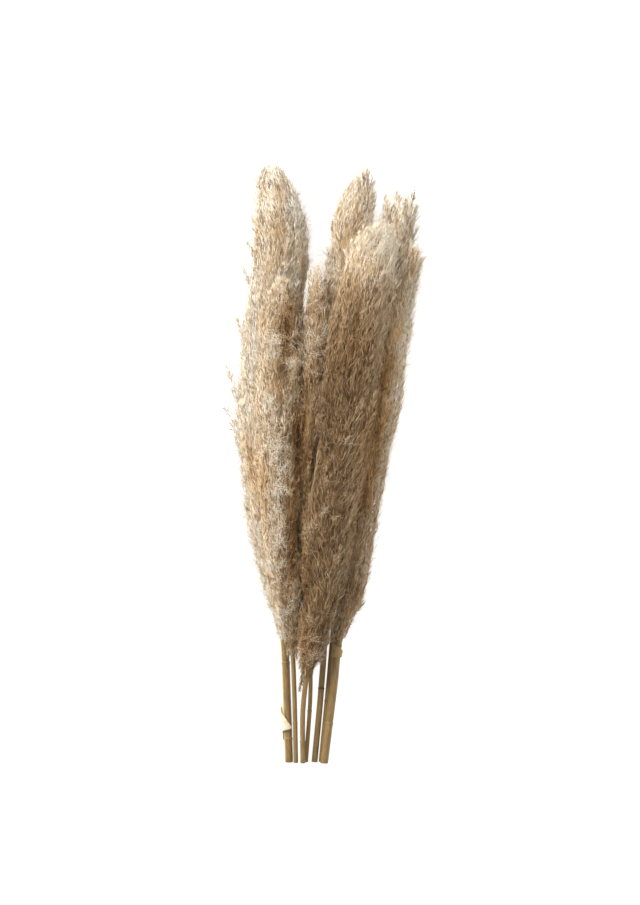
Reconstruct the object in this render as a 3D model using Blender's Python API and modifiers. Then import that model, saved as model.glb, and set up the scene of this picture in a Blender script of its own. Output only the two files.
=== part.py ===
"""A cut bundle of dried pampas grass, lying on its side as it was put down.

Seven canes lie in two layers, with their cut ends together and their plumes fanned out.
Each cane is a stem, which is a jointed round culm, and a plume, which is a long head of
feathery branches round a slimmer core.  Dried scraps of leaf sheath clasp two stems.

X runs across the bundle, Y from the cut ends to the tips of the plumes, and Z up from
the surface that the bundle lies on.  The tables are in millimetres, the scene in metres.
"""

import math
import random
from dataclasses import dataclass

import bmesh
import bpy
import numpy as np
from mathutils import Vector

MM = 0.001

# Space between neighbours.  A cane holds its room with a share of its own reach.
CLEARANCE = 0.0003
CANE_MARGIN = 0.0011
FLOOR_MARGIN = 0.0006
LEAST_ROOM = 0.0005
LEAST_REACH = 0.001
NOTHING = 1e-6
SQUEEZE_POWER = 6
HOLD_SHARE = 0.58
STEM_HOLD = 0.0036
TIP_FADE = 2.0

# Plumes.  Shares are of the plume's reach, and parts are along a branch.
CORE_SHARE = 0.60
CORE_STEP = 0.040
CORE_END_RADIUS = 0.0011
CORE_STOP = 0.016
CORE_SINK = 0.0015
LYING_HEIGHT = 0.021
SOCKET_DEPTH = 0.020
ROOT_SHARE = 0.15
BELLY_SHARE = 0.80
BELLY_PART = 0.48
MOST_BELLY = 1.12
TUFT_LENGTH = 0.066
TUFT_WIDTH = 0.0078
TUFT_THICKNESS = 0.0030
TUFT_SPREAD = (0.92, 1.12)
TUFT_LENGTHS = (0.8, 1.1)
TUFT_SIZES = (0.85, 1.15)
TUFT_FAN = math.radians(14)
MOST_OF_PLUME = 0.25
FIRST_TIP = 0.035
FIRST_ROOT = 0.012
ROOT_CLIMB = 0.020
LEAST_SIZE = 0.35
FULL_SIZE_REACH = 0.032
WISP_SIZE = 0.5
SKIRT_LENGTH = 0.024
SKIRT_LENGTHS = (0.9, 1.3)
SKIRT_RISE = 0.030
SKIRT_SPREAD = 1.35
SKIRT_SIZE = 0.6
GOLDEN_ANGLE = math.radians(137.508)

# Stems.
STEM_STEP = 0.045
JOINT_SWELL = 1.16
JOINT_HALF = 0.0022
BEVEL_STEPS = 2
SHARP_ANGLE = math.radians(50)

# Leaf sheaths.
SHEATH_WALL = 0.0007
SHEATH_CORNERS = (7, 4)
SHEATH_TEAR = 0.6


@dataclass(frozen=True)
class Cane:
    """One cane of the bundle.

    Stations are (along, across, height, reach) from the cut end to the tip, joints are
    places along the stem, and wisps are stray branches, each (tip along, turn in
    degrees from +X, how many times the plume's own reach it stands out).
    """

    number: int
    stem_radius: float
    plume_start: float
    tufts: int
    skirt: int
    wisps: tuple
    joints: tuple
    colour: tuple
    stations: tuple


CANES = (
    Cane(
        number=1,
        stem_radius=4.4,
        plume_start=-176,
        tufts=90,
        skirt=4,
        wisps=((112, 178, 1.62), (66, 190, 1.55), (206, 150, 1.2)),
        joints=(-279, -200),
        colour=(0.72, 0.58, 0.42),
        stations=(
            (-304, -35.3, 4.6, 4.4),
            (-240, -37.4, 7.4, 4.4),
            (-172, -40.5, 11.0, 6.5),
            (-130, -46.0, 14.0, 14.0),
            (-89, -51.5, 16.5, 20.0),
            (13, -60.0, 19.5, 27.0),
            (136, -54.0, 20.0, 29.0),
            (217, -44.5, 20.0, 29.5),
            (268, -46.5, 20.0, 24.0),
            (292, -50.0, 20.0, 16.0),
            (306, -52.0, 20.0, 8.5),
            (318, -53.0, 20.0, 1.5),
        ),
    ),
    Cane(
        number=2,
        stem_radius=2.4,
        plume_start=-190,
        tufts=66,
        skirt=5,
        wisps=(),
        joints=(-262,),
        colour=(0.66, 0.55, 0.42),
        stations=(
            (-304, -28.0, 9.6, 2.4),
            (-222, -29.8, 17.0, 2.4),
            (-188, -31.2, 22.0, 5.0),
            (-140, -35.5, 33.0, 13.0),
            (-89, -39.0, 44.0, 18.0),
            (13, -41.0, 58.0, 24.0),
            (80, -40.5, 62.0, 25.0),
            (136, -39.0, 63.0, 23.0),
            (170, -40.0, 62.0, 15.0),
            (195, -41.0, 61.0, 1.5),
        ),
    ),
    Cane(
        number=3,
        stem_radius=2.2,
        plume_start=-186,
        tufts=38,
        skirt=3,
        wisps=((212, 60, 1.6),),
        joints=(-250,),
        colour=(0.60, 0.49, 0.36),
        stations=(
            (-304, -17.6, 4.6, 2.2),
            (-222, -12.8, 11.5, 2.2),
            (-185, -13.5, 18.0, 3.6),
            (-89, -21.0, 43.0, 11.0),
            (13, -14.0, 66.0, 14.0),
            (80, -9.0, 70.0, 15.5),
            (136, -5.0, 70.0, 15.5),
            (176, -2.5, 69.0, 10.5),
            (202, 0.0, 68.0, 1.5),
        ),
    ),
    Cane(
        number=4,
        stem_radius=3.1,
        plume_start=-178,
        tufts=72,
        skirt=4,
        wisps=(),
        joints=(-227,),
        colour=(0.58, 0.47, 0.35),
        stations=(
            (-304, -8.8, 3.5, 3.1),
            (-227, -1.8, 7.6, 3.1),
            (-172, 1.5, 10.5, 5.5),
            (-89, -5.0, 14.5, 18.0),
            (13, -5.0, 16.5, 24.0),
            (136, 12.0, 17.5, 24.5),
            (217, 27.0, 17.5, 22.5),
            (262, 32.0, 17.5, 19.0),
            (286, 37.0, 17.5, 11.0),
            (308, 41.5, 17.5, 1.5),
        ),
    ),
    Cane(
        number=5,
        stem_radius=2.6,
        plume_start=-214,
        tufts=104,
        skirt=8,
        wisps=(),
        joints=(-281,),
        colour=(0.76, 0.64, 0.48),
        stations=(
            (-304, -20.8, 11.6, 2.6),
            (-240, -20.0, 19.6, 2.6),
            (-212, -16.5, 26.5, 5.0),
            (-191, -12.5, 34.0, 10.5),
            (-130, -1.5, 49.0, 20.0),
            (-38, 7.0, 63.0, 30.0),
            (23, 15.0, 67.0, 34.0),
            (85, 22.5, 70.0, 35.0),
            (136, 30.0, 71.0, 34.0),
            (184, 41.5, 71.0, 29.0),
            (218, 50.5, 70.0, 22.0),
            (234, 55.0, 69.0, 14.0),
            (248, 59.0, 68.0, 1.5),
        ),
    ),
    Cane(
        number=6,
        stem_radius=2.9,
        plume_start=-168,
        tufts=62,
        skirt=3,
        wisps=((290, 20, 2.4),),
        joints=(-240,),
        colour=(0.55, 0.44, 0.31),
        stations=(
            (-304, -1.6, 3.2, 2.9),
            (-222, 6.2, 6.4, 2.9),
            (-165, 11.0, 9.6, 4.5),
            (-89, 20.0, 12.0, 12.0),
            (13, 36.0, 13.5, 18.0),
            (136, 54.0, 14.0, 20.0),
            (217, 70.0, 14.5, 21.0),
            (262, 77.0, 14.5, 18.0),
            (280, 80.0, 14.5, 10.0),
            (293, 82.0, 14.5, 1.5),
        ),
    ),
    Cane(
        number=7,
        stem_radius=4.0,
        plume_start=-176,
        tufts=58,
        skirt=3,
        wisps=((138, 10, 1.25),),
        joints=(-262, -181),
        colour=(0.57, 0.45, 0.31),
        stations=(
            (-304, 1.2, 11.4, 4.0),
            (-222, 11.2, 17.0, 4.0),
            (-172, 17.0, 21.0, 7.0),
            (-137, 27.0, 25.0, 12.5),
            (-75, 38.0, 31.0, 15.0),
            (-2, 50.0, 36.0, 17.0),
            (59, 64.0, 39.0, 18.0),
            (108, 70.5, 40.0, 17.0),
            (157, 78.5, 40.0, 16.0),
            (195, 88.0, 39.0, 12.0),
            (215, 96.0, 38.0, 6.0),
            (226, 100.0, 38.0, 1.5),
        ),
    ),
)

SHEATHS = (
    # Number of the cane, where along it starts and ends, its two turns in degrees
    # from +X, and how far its torn end flares from the culm.
    (1, -283, -248, 60, 225, 1.6),
    (7, -194, -179.5, 10, 170, 0.5),
)

STEM_COLOUR = (0.55, 0.42, 0.24)
SHEATH_COLOUR = (0.78, 0.68, 0.52)


class Course:
    """The line that a cane follows, and how far it reaches on each side of it, in metres."""

    def __init__(self, cane):
        """Reads a cane's stations and finds a smooth slope at each."""
        rows = np.array(cane.stations, float) * MM
        self.start = float(rows[0, 0])
        self.tip = float(rows[-1, 0])
        self.along = rows[:, 0]
        self.values = rows[:, 1:]
        steps = np.diff(self.along)
        climbs = np.diff(self.values, axis=0) / steps[:, None]
        inner = (climbs[:-1] * steps[1:, None] + climbs[1:] * steps[:-1, None]) / (
            steps[:-1] + steps[1:]
        )[:, None]
        self.slopes = np.vstack([climbs[:1], inner, climbs[-1:]])

    def at(self, along):
        """The centre across the bundle, as a Vector of X and Z, and the reach there."""
        held = min(max(along, self.start), self.tip)
        k = int(np.clip(np.searchsorted(self.along, held) - 1, 0, len(self.along) - 2))
        step = self.along[k + 1] - self.along[k]
        t = (held - self.along[k]) / step
        low, high = self.values[k], self.values[k + 1]
        pull, push = self.slopes[k] * step, self.slopes[k + 1] * step
        across, height, reach = (
            (2 * t**3 - 3 * t**2 + 1) * low
            + (t**3 - 2 * t**2 + t) * pull
            + (3 * t**2 - 2 * t**3) * high
            + (t**3 - t**2) * push
        )
        return Vector((across, height)), max(reach, LEAST_REACH)

    def hold(self, along):
        """How strongly the cane holds its space against its neighbours."""
        if along > self.tip:
            return -((along - self.tip) * TIP_FADE) ** 2
        return max(HOLD_SHARE * self.at(along)[1], STEM_HOLD) ** 2


COURSES = {cane.number: Course(cane) for cane in CANES}


def room(number, along, direction):
    """How far a cane may reach from its line in one direction across the bundle."""
    course = COURSES[number]
    centre = course.at(along)[0]
    held = course.hold(along)
    limit = 1.0
    if direction.y < -NOTHING:
        limit = (centre.y - FLOOR_MARGIN) / -direction.y
    for other, its_course in COURSES.items():
        if other == number:
            continue
        offset = its_course.at(along)[0] - centre
        toward = direction.dot(offset)
        if toward > NOTHING:
            share = (offset.length_squared + held - its_course.hold(along)) / 2
            limit = min(limit, share / toward - CANE_MARGIN)
    return max(limit, LEAST_ROOM)


def settled(number, along, offset):
    """The world point of an offset from a cane's line, pressed into the cane's own room."""
    centre = COURSES[number].at(along)[0]
    distance = offset.length
    if distance > NOTHING:
        limit = room(number, along, offset / distance)
        pressed = (distance**-SQUEEZE_POWER + limit**-SQUEEZE_POWER) ** (-1 / SQUEEZE_POWER)
        offset = offset * (pressed / distance)
    return Vector((centre.x + offset.x, along, centre.y + offset.y))


def material(name, colour, roughness):
    """A dry, matt finish in one colour."""
    made = bpy.data.materials.new(name)
    made.use_nodes = True
    shader = made.node_tree.nodes["Principled BSDF"]
    shader.inputs["Base Color"].default_value = (*colour, 1.0)
    shader.inputs["Roughness"].default_value = roughness
    shader.inputs["Metallic"].default_value = 0.0
    return made


def mesh_object(name, shape, collection):
    """An object in a collection that holds what was drawn in a bmesh, which is freed."""
    mesh = bpy.data.meshes.new(name)
    shape.to_mesh(mesh)
    shape.free()
    made = bpy.data.objects.new(name, mesh)
    collection.objects.link(made)
    return made


def tube(name, points, radii, collection):
    """A closed round mesh that runs through the points, with a radius at each."""
    curve = bpy.data.curves.new(name, "CURVE")
    curve.dimensions = "3D"
    curve.bevel_depth = 1.0
    curve.bevel_resolution = BEVEL_STEPS
    curve.use_fill_caps = True
    spline = curve.splines.new("POLY")
    spline.points.add(len(points) - 1)
    for point, place, radius in zip(spline.points, points, radii):
        point.co = (*place, 1.0)
        point.radius = radius
    drawn = bpy.data.objects.new(name + "_line", curve)
    collection.objects.link(drawn)
    bpy.context.view_layer.update()
    evaluated = drawn.evaluated_get(bpy.context.evaluated_depsgraph_get())
    mesh = bpy.data.meshes.new_from_object(evaluated)
    mesh.name = name
    shape = bmesh.new()
    shape.from_mesh(mesh)
    bmesh.ops.remove_doubles(shape, verts=shape.verts, dist=NOTHING)
    bmesh.ops.recalc_face_normals(shape, faces=shape.faces)
    shape.to_mesh(mesh)
    shape.free()
    made = bpy.data.objects.new(name, mesh)
    made.matrix_world = drawn.matrix_world
    collection.objects.link(made)
    bpy.data.objects.remove(drawn)
    return made


def spread(start, end, step):
    """Evenly spaced values from start to end, about a step apart."""
    return np.linspace(start, end, max(2, round((end - start) / step) + 1))


def stem_line(cane, spare):
    """The points of a culm and its radius at each, with some room to spare all round."""
    course = COURSES[cane.number]
    end = cane.plume_start * MM + SOCKET_DEPTH
    swells = {}
    for joint in cane.joints:
        middle = joint * MM
        swells[middle - JOINT_HALF] = 1.0
        swells[middle] = JOINT_SWELL
        swells[middle + JOINT_HALF] = 1.0
    for along in spread(course.start, end, STEM_STEP):
        if all(abs(along - stop) > 3 * JOINT_HALF for stop in swells):
            swells[along] = 1.0
    points = []
    radii = []
    for along in sorted(swells):
        centre = course.at(along)[0]
        points.append(Vector((centre.x, along, centre.y)))
        radii.append(cane.stem_radius * MM * swells[along] + spare)
    points[-1] += (points[-1] - points[-2]).normalized() * spare
    return points, radii


def plume_core(cane, collection):
    """The dense middle of a plume, pressed flat where it lies on the surface."""
    course = COURSES[cane.number]
    stops = spread(cane.plume_start * MM, course.tip - CORE_STOP, CORE_STEP)
    points = []
    radii = []
    for along in stops:
        centre, reach = course.at(along)
        points.append((centre.x, along, centre.y))
        radii.append(CORE_SHARE * reach)
    radii[-1] = CORE_END_RADIUS
    core = tube(f"plume_{cane.number}", points, radii, collection)
    shape = bmesh.new()
    shape.from_mesh(core.data)
    press_core(cane, shape)
    shape.to_mesh(core.data)
    shape.free()
    return core


def press_core(cane, shape):
    """Keeps a core off its neighbours, and cuts it level with the surface it lies on."""
    course = COURSES[cane.number]
    for vertex in shape.verts:
        along = vertex.co.y
        centre, reach = course.at(along)
        offset = Vector((vertex.co.x, vertex.co.z)) - centre
        if offset.length < NOTHING:
            continue
        pressed = settled(cane.number, along, offset)
        lies = centre.y < LYING_HEIGHT and reach > centre.y
        if lies and offset.y < 0:
            pressed.z = centre.y + offset.y * (centre.y + CORE_SINK) / (CORE_SHARE * reach)
        vertex.co = pressed
    bmesh.ops.triangulate(shape, faces=shape.faces)
    if min(vertex.co.z for vertex in shape.verts) >= 0:
        return
    cut = bmesh.ops.bisect_plane(
        shape,
        geom=shape.verts[:] + shape.edges[:] + shape.faces[:],
        plane_co=(0, 0, 0),
        plane_no=(0, 0, -1),
        clear_outer=True,
    )
    rim = [item for item in cut["geom_cut"] if isinstance(item, bmesh.types.BMEdge)]
    bmesh.ops.holes_fill(shape, edges=rim)
    bmesh.ops.triangulate(shape, faces=shape.faces)
    bmesh.ops.recalc_face_normals(shape, faces=shape.faces)


def tuft(cane, label, root, rise, angle, reach_share, size, collection):
    """One three-sided feathery branch, from its root in the core to its pointed tip."""
    course = COURSES[cane.number]
    root_distance = ROOT_SHARE * course.at(root)[1]
    tip_distance = reach_share * course.at(root + rise)[1]
    outward = Vector((math.cos(angle), math.sin(angle)))
    sideways = Vector((-outward.y, outward.x))
    belly_share = BELLY_SHARE * min(reach_share, MOST_BELLY)
    middle_distance = belly_share * course.at(root + rise * BELLY_PART)[1]
    shape = bmesh.new()
    bmesh.ops.create_cone(shape, cap_ends=True, segments=3, radius1=1, radius2=0, depth=1)
    foot = next(face for face in shape.faces if face.normal.z < -0.9)
    bmesh.ops.poke(shape, faces=[foot])
    for vertex in shape.verts:
        flat = math.hypot(vertex.co.x, vertex.co.y)
        if flat < 0.5:
            part, distance = (1, tip_distance) if vertex.co.z > 0 else (0, root_distance)
            vertex.co = settled(cane.number, root + rise * part, outward * distance)
            continue
        turn = math.atan2(vertex.co.y, vertex.co.x)
        distance = middle_distance + size * TUFT_THICKNESS * math.cos(turn)
        offset = outward * distance + sideways * (size * TUFT_WIDTH * math.sin(turn))
        vertex.co = settled(cane.number, root + rise * BELLY_PART, offset)
    bmesh.ops.recalc_face_normals(shape, faces=shape.faces)
    return mesh_object(label, shape, collection)


def grow_tufts(cane, collection):
    """Sets the branches round a plume in a spiral, each a little unlike the last."""
    course = COURSES[cane.number]
    chance = random.Random(cane.number)
    start = cane.plume_start * MM
    length = course.tip - start
    longest = min(TUFT_LENGTH, MOST_OF_PLUME * length)
    for k in range(cane.tufts):
        part = (k + 0.5) / cane.tufts
        tip = start + FIRST_TIP + (length - FIRST_TIP) * part
        rise = longest * chance.uniform(*TUFT_LENGTHS)
        root = max(tip - rise, start + FIRST_ROOT + ROOT_CLIMB * part)
        fan = chance.uniform(-TUFT_FAN, TUFT_FAN)
        size = min(1.0, LEAST_SIZE + course.at((root + tip) / 2)[1] / FULL_SIZE_REACH)
        tuft(
            cane,
            f"tuft_{k}",
            root,
            tip - root,
            k * GOLDEN_ANGLE + fan,
            chance.uniform(*TUFT_SPREAD),
            size * chance.uniform(*TUFT_SIZES),
            collection,
        )
    for k in range(cane.skirt):
        tuft(
            cane,
            f"skirt_{k}",
            start + SKIRT_RISE,
            -SKIRT_LENGTH * chance.uniform(*SKIRT_LENGTHS),
            math.tau * (k + 0.5) / cane.skirt,
            SKIRT_SPREAD,
            SKIRT_SIZE,
            collection,
        )
    for k, (tip, turn, reach_share) in enumerate(cane.wisps):
        tuft(
            cane,
            f"wisp_{k}",
            tip * MM - TUFT_LENGTH,
            TUFT_LENGTH,
            math.radians(turn),
            reach_share,
            WISP_SIZE,
            collection,
        )


def boolean(target, operation, collection):
    """Applies a Boolean with every object of a collection, and removes those objects."""
    bpy.context.view_layer.update()
    change = target.modifiers.new(operation.title(), "BOOLEAN")
    change.operation = operation
    change.operand_type = "COLLECTION"
    change.collection = collection
    evaluated = target.evaluated_get(bpy.context.evaluated_depsgraph_get())
    result = bpy.data.meshes.new_from_object(evaluated)
    result.name = target.name
    target.modifiers.clear()
    target.data = result
    for item in list(collection.objects):
        bpy.data.objects.remove(item)
    bpy.data.collections.remove(collection)


def bodies_of(shape):
    """The faces of each connected body, and the volume that each encloses."""
    left = set(shape.faces)
    found = []
    while left:
        body = {left.pop()}
        edge_of_body = list(body)
        while edge_of_body:
            face = edge_of_body.pop()
            for loop in face.loops:
                for near in loop.edge.link_faces:
                    if near in left:
                        left.discard(near)
                        body.add(near)
                        edge_of_body.append(near)
        volume = 0.0
        for face in body:
            a, b, c = (vertex.co for vertex in face.verts)
            volume += a.dot(b.cross(c)) / 6
        found.append((volume, body))
    return sorted(found, key=lambda body: -body[0])


def keep_one_body(target):
    """Triangulates a fused solid, fills its sealed hollows and drops loose scraps."""
    shape = bmesh.new()
    shape.from_mesh(target.data)
    bmesh.ops.triangulate(shape, faces=shape.faces)
    for _volume, body in bodies_of(shape)[1:]:
        bmesh.ops.delete(shape, geom=list(body), context="FACES")
    shape.to_mesh(target.data)
    shape.free()


def plume(cane, parts):
    """A whole plume: its core and branches fused into one solid."""
    tufts = bpy.data.collections.new("tufts")
    bpy.context.scene.collection.children.link(tufts)
    made = plume_core(cane, parts)
    grow_tufts(cane, tufts)
    boolean(made, "UNION", tufts)
    cutters = bpy.data.collections.new("cutters")
    bpy.context.scene.collection.children.link(cutters)
    tube("socket", *stem_line(cane, CLEARANCE), cutters)
    boolean(made, "DIFFERENCE", cutters)
    keep_one_body(made)
    made.data.materials.clear()
    made.data.materials.append(material(f"plume_{cane.number}", cane.colour, 0.9))
    return made


def stem(cane, parts):
    """A culm from its cut end up into the plume, swollen at its joints."""
    made = tube(f"stem_{cane.number}", *stem_line(cane, 0), parts)
    made.data.materials.clear()
    made.data.materials.append(material(f"stem_{cane.number}", STEM_COLOUR, 0.55))
    made.data.shade_smooth()
    made.data.set_sharp_from_angle(angle=SHARP_ANGLE)
    return made


def sheath(cane, start, end, first_turn, last_turn, flare, parts):
    """A thin curved scrap of dry leaf sheath round a culm, torn to a point at its end."""
    course = COURSES[cane.number]
    name = f"sheath_{cane.number}"
    clear = cane.stem_radius * MM * JOINT_SWELL + CLEARANCE + SHEATH_WALL
    across, rows = SHEATH_CORNERS
    shape = bmesh.new()
    bmesh.ops.create_grid(shape, x_segments=across, y_segments=rows, size=0.5)
    for vertex in shape.verts:
        round_part = vertex.co.x + 0.5
        long_part = vertex.co.y + 0.5
        turn = math.radians(first_turn + (last_turn - first_turn) * round_part)
        torn = 1 - SHEATH_TEAR * abs(2 * round_part - 1)
        along = (start + (end - start) * long_part * torn) * MM
        lift = clear + flare * MM * long_part**2
        centre = course.at(along)[0]
        side = Vector((math.cos(turn), math.sin(turn))) * lift
        vertex.co = (centre.x + side.x, along, centre.y + side.y)
    made = mesh_object(name, shape, parts)
    wall = made.modifiers.new("Wall", "SOLIDIFY")
    wall.thickness = SHEATH_WALL
    wall.offset = 0
    made.data.materials.append(material(name, SHEATH_COLOUR, 0.7))
    made.data.shade_smooth()
    return made


def centre_on_origin(parts):
    """Moves every piece so that the origin is the middle of the bundle's footprint."""
    bpy.context.view_layer.update()
    corners = [
        piece.matrix_world @ Vector(corner)
        for piece in parts.objects
        for corner in piece.bound_box
    ]
    middle_x = (min(c.x for c in corners) + max(c.x for c in corners)) / 2
    middle_y = (min(c.y for c in corners) + max(c.y for c in corners)) / 2
    for piece in parts.objects:
        piece.location = (-middle_x, -middle_y, 0)


def main():
    """Clears the scene and builds the bundle in it."""
    for item in list(bpy.data.objects):
        bpy.data.objects.remove(item)
    parts = bpy.data.collections.new("pampas_bundle")
    bpy.context.scene.collection.children.link(parts)
    for cane in CANES:
        plume(cane, parts)
        stem(cane, parts)
    for number, *place in SHEATHS:
        sheath(CANES[number - 1], *place, parts)
    centre_on_origin(parts)


main()
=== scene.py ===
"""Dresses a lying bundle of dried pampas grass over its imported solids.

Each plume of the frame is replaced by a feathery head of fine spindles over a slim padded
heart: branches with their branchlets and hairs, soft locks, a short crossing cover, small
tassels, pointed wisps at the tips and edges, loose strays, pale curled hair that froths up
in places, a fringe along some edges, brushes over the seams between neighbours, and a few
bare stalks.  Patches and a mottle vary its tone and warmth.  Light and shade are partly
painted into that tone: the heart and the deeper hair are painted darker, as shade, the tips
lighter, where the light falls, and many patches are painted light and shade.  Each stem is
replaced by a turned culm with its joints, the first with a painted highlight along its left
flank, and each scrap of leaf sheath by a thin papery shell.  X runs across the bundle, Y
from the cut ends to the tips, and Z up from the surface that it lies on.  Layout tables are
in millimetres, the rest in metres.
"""

import logging
import math
from dataclasses import dataclass
from enum import Enum
from typing import Any, Callable, Iterable, Sequence

import bmesh
import bpy
import numpy as np
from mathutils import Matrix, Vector, noise

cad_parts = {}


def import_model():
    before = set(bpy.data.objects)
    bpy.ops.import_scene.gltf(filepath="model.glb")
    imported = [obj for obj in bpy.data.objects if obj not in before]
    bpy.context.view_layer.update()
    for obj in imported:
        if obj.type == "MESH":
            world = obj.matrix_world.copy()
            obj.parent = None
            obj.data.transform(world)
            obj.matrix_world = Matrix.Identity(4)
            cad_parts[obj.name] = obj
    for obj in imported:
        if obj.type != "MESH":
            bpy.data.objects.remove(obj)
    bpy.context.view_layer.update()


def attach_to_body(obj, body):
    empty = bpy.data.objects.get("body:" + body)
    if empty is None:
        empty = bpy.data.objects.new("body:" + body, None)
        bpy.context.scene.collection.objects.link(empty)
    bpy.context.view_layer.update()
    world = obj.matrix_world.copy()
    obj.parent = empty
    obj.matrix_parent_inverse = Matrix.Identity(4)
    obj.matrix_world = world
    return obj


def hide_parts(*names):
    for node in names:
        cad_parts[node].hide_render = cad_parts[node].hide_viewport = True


Array = np.ndarray
Pair = tuple[float, float]
Triple = tuple[float, float, float]
Colour = Triple

MM = 0.001
ROOT_BODY = "root"

# Where the layout tables' own origin lies in the frame, across the bundle and along it.
LAYOUT_SHIFT = (0.000118457, -0.005460128)

# The UV map that holds a hair's tone and warmth, which its finish turns into a colour.
COLOUR_MAP = "OFBake"
FIBRE_MAP = "Fibre"
RING_SHADE = "ring_shade"
# How much a culm's left flank is lightened by a painted highlight, from the key light.
FLANK_HIGHLIGHT = "flank_highlight"

# How canes share the room between them.
FLOOR_MARGIN = 0.0017
CANE_MARGIN = 0.0002
LEAST_ROOM = 0.0005
LEAST_REACH = 0.001
SQUEEZE_POWER = 6
HOLD_SHARE = 0.58
STEM_HOLD = 0.0036
TIP_FADE = 2.0
LEAST_DISTANCE = 1e-7
NOTHING = 1e-9

GOLDEN_ANGLE = math.radians(137.508)
ALONG = np.array([0.0, 1.0, 0.0])

# Plume 1's chance starts from the next number, plume 2's from the one after it, and so on.
FIRST_SEED = 100

# How far each kind of noise moves from one plume to the next.
BUMP_SEED = 3.0
STREAK_SEED = 5.0
FLOW_SEED = 7.0
LOOSE_SEED = 11.0
MOTTLE_SEED = 13.0

# Where a spindle is widest, how much its two sides differ in warmth, and the least and the
# most that its map holds.
BELLY_PLACE = 0.42
SIDE_WARMTH = 0.006
MAP_LIMITS = (0.004, 0.996)

log = logging.getLogger("pampas_bundle")


class Slot(Enum):
    """The record's material slots."""

    PALE = "plume_pale"
    TAN = "plume_tan"
    BROWN = "plume_brown"
    STEM = "stem"
    SHEATH = "sheath"


@dataclass(frozen=True)
class Patch:
    """A soft-edged place where a head's hair is lighter or more golden.

    Its lean is how far it drifts across for each step along.  Some patches are the hair's own
    tone and warmth, and many are painted light and shade: more golden places where light
    shines through the hair on the lit side, lighter and warmer places on flanks left in shade,
    darker places on flanks that the light falls on, and dark warm slots in the seams between
    heads, where shade falls.
    """

    along: float
    across: float
    length: float
    width: float
    tone: float
    warmth: float = 0.0
    lean: float = 0.0


@dataclass(frozen=True)
class Complexion:
    """How light and how golden a plume's hair is, each from 0 to 1.

    Tones are (part of the plume's length, tone), contrast is how much its hairs differ
    from each other, and mottle is how much its tufts do.  The tones are partly painted light
    and shade: lighter toward the tips, where the light falls, and darker over the middle of
    some plumes, in shade.  Many of the patches are painted light and shade too.
    """

    slot: Slot
    tones: tuple[Pair, ...]
    warmth: float
    patches: tuple[Patch, ...] = ()
    contrast: float = 1.0
    mottle: float = 0.06


@dataclass(frozen=True)
class Cane:
    """One cane of the bundle, its layout in millimetres.

    Stations are (along, across, height, reach), joints are places along the stem, and
    wisps are pointed brushes of hair that stand out of the head, each (tip along, tip
    across, tip height, length, width).  Frizz is where pale curled hair froths up, each
    (along, across, spread along, spread across, how many clusters).  Twigs are bare thin
    stalks, each (along, across, height, step along, step across, width, tone).  Fringe is
    fine hair along an edge, each (from, to, turn about the line in degrees, how many),
    and mingling is brushes that lie over a seam, each (neighbour, from, to, how many).
    """

    number: int
    stem_radius: float
    plume_start: float
    branches: int
    locks: int
    cover: int
    tassels: int
    skirt: int
    curls: int
    strays: int
    complexion: Complexion
    joints: tuple[float, ...]
    joint_shade: float
    wisps: tuple[tuple[float, float, float, float, float], ...]
    frizz: tuple[tuple[float, float, float, float, int], ...]
    stations: tuple[tuple[float, float, float, float], ...]
    twigs: tuple[tuple[float, float, float, float, float, float, float], ...] = ()
    fringe: tuple[tuple[float, float, float, int], ...] = ()
    mingling: tuple[tuple[int, float, float, int], ...] = ()
    # How strongly a painted highlight lightens the stem's left flank, where the key light falls.
    pale_flank: float = 0.0


# Many of the patches below, and in part the tones along each plume, are painted light and shade.
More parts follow.
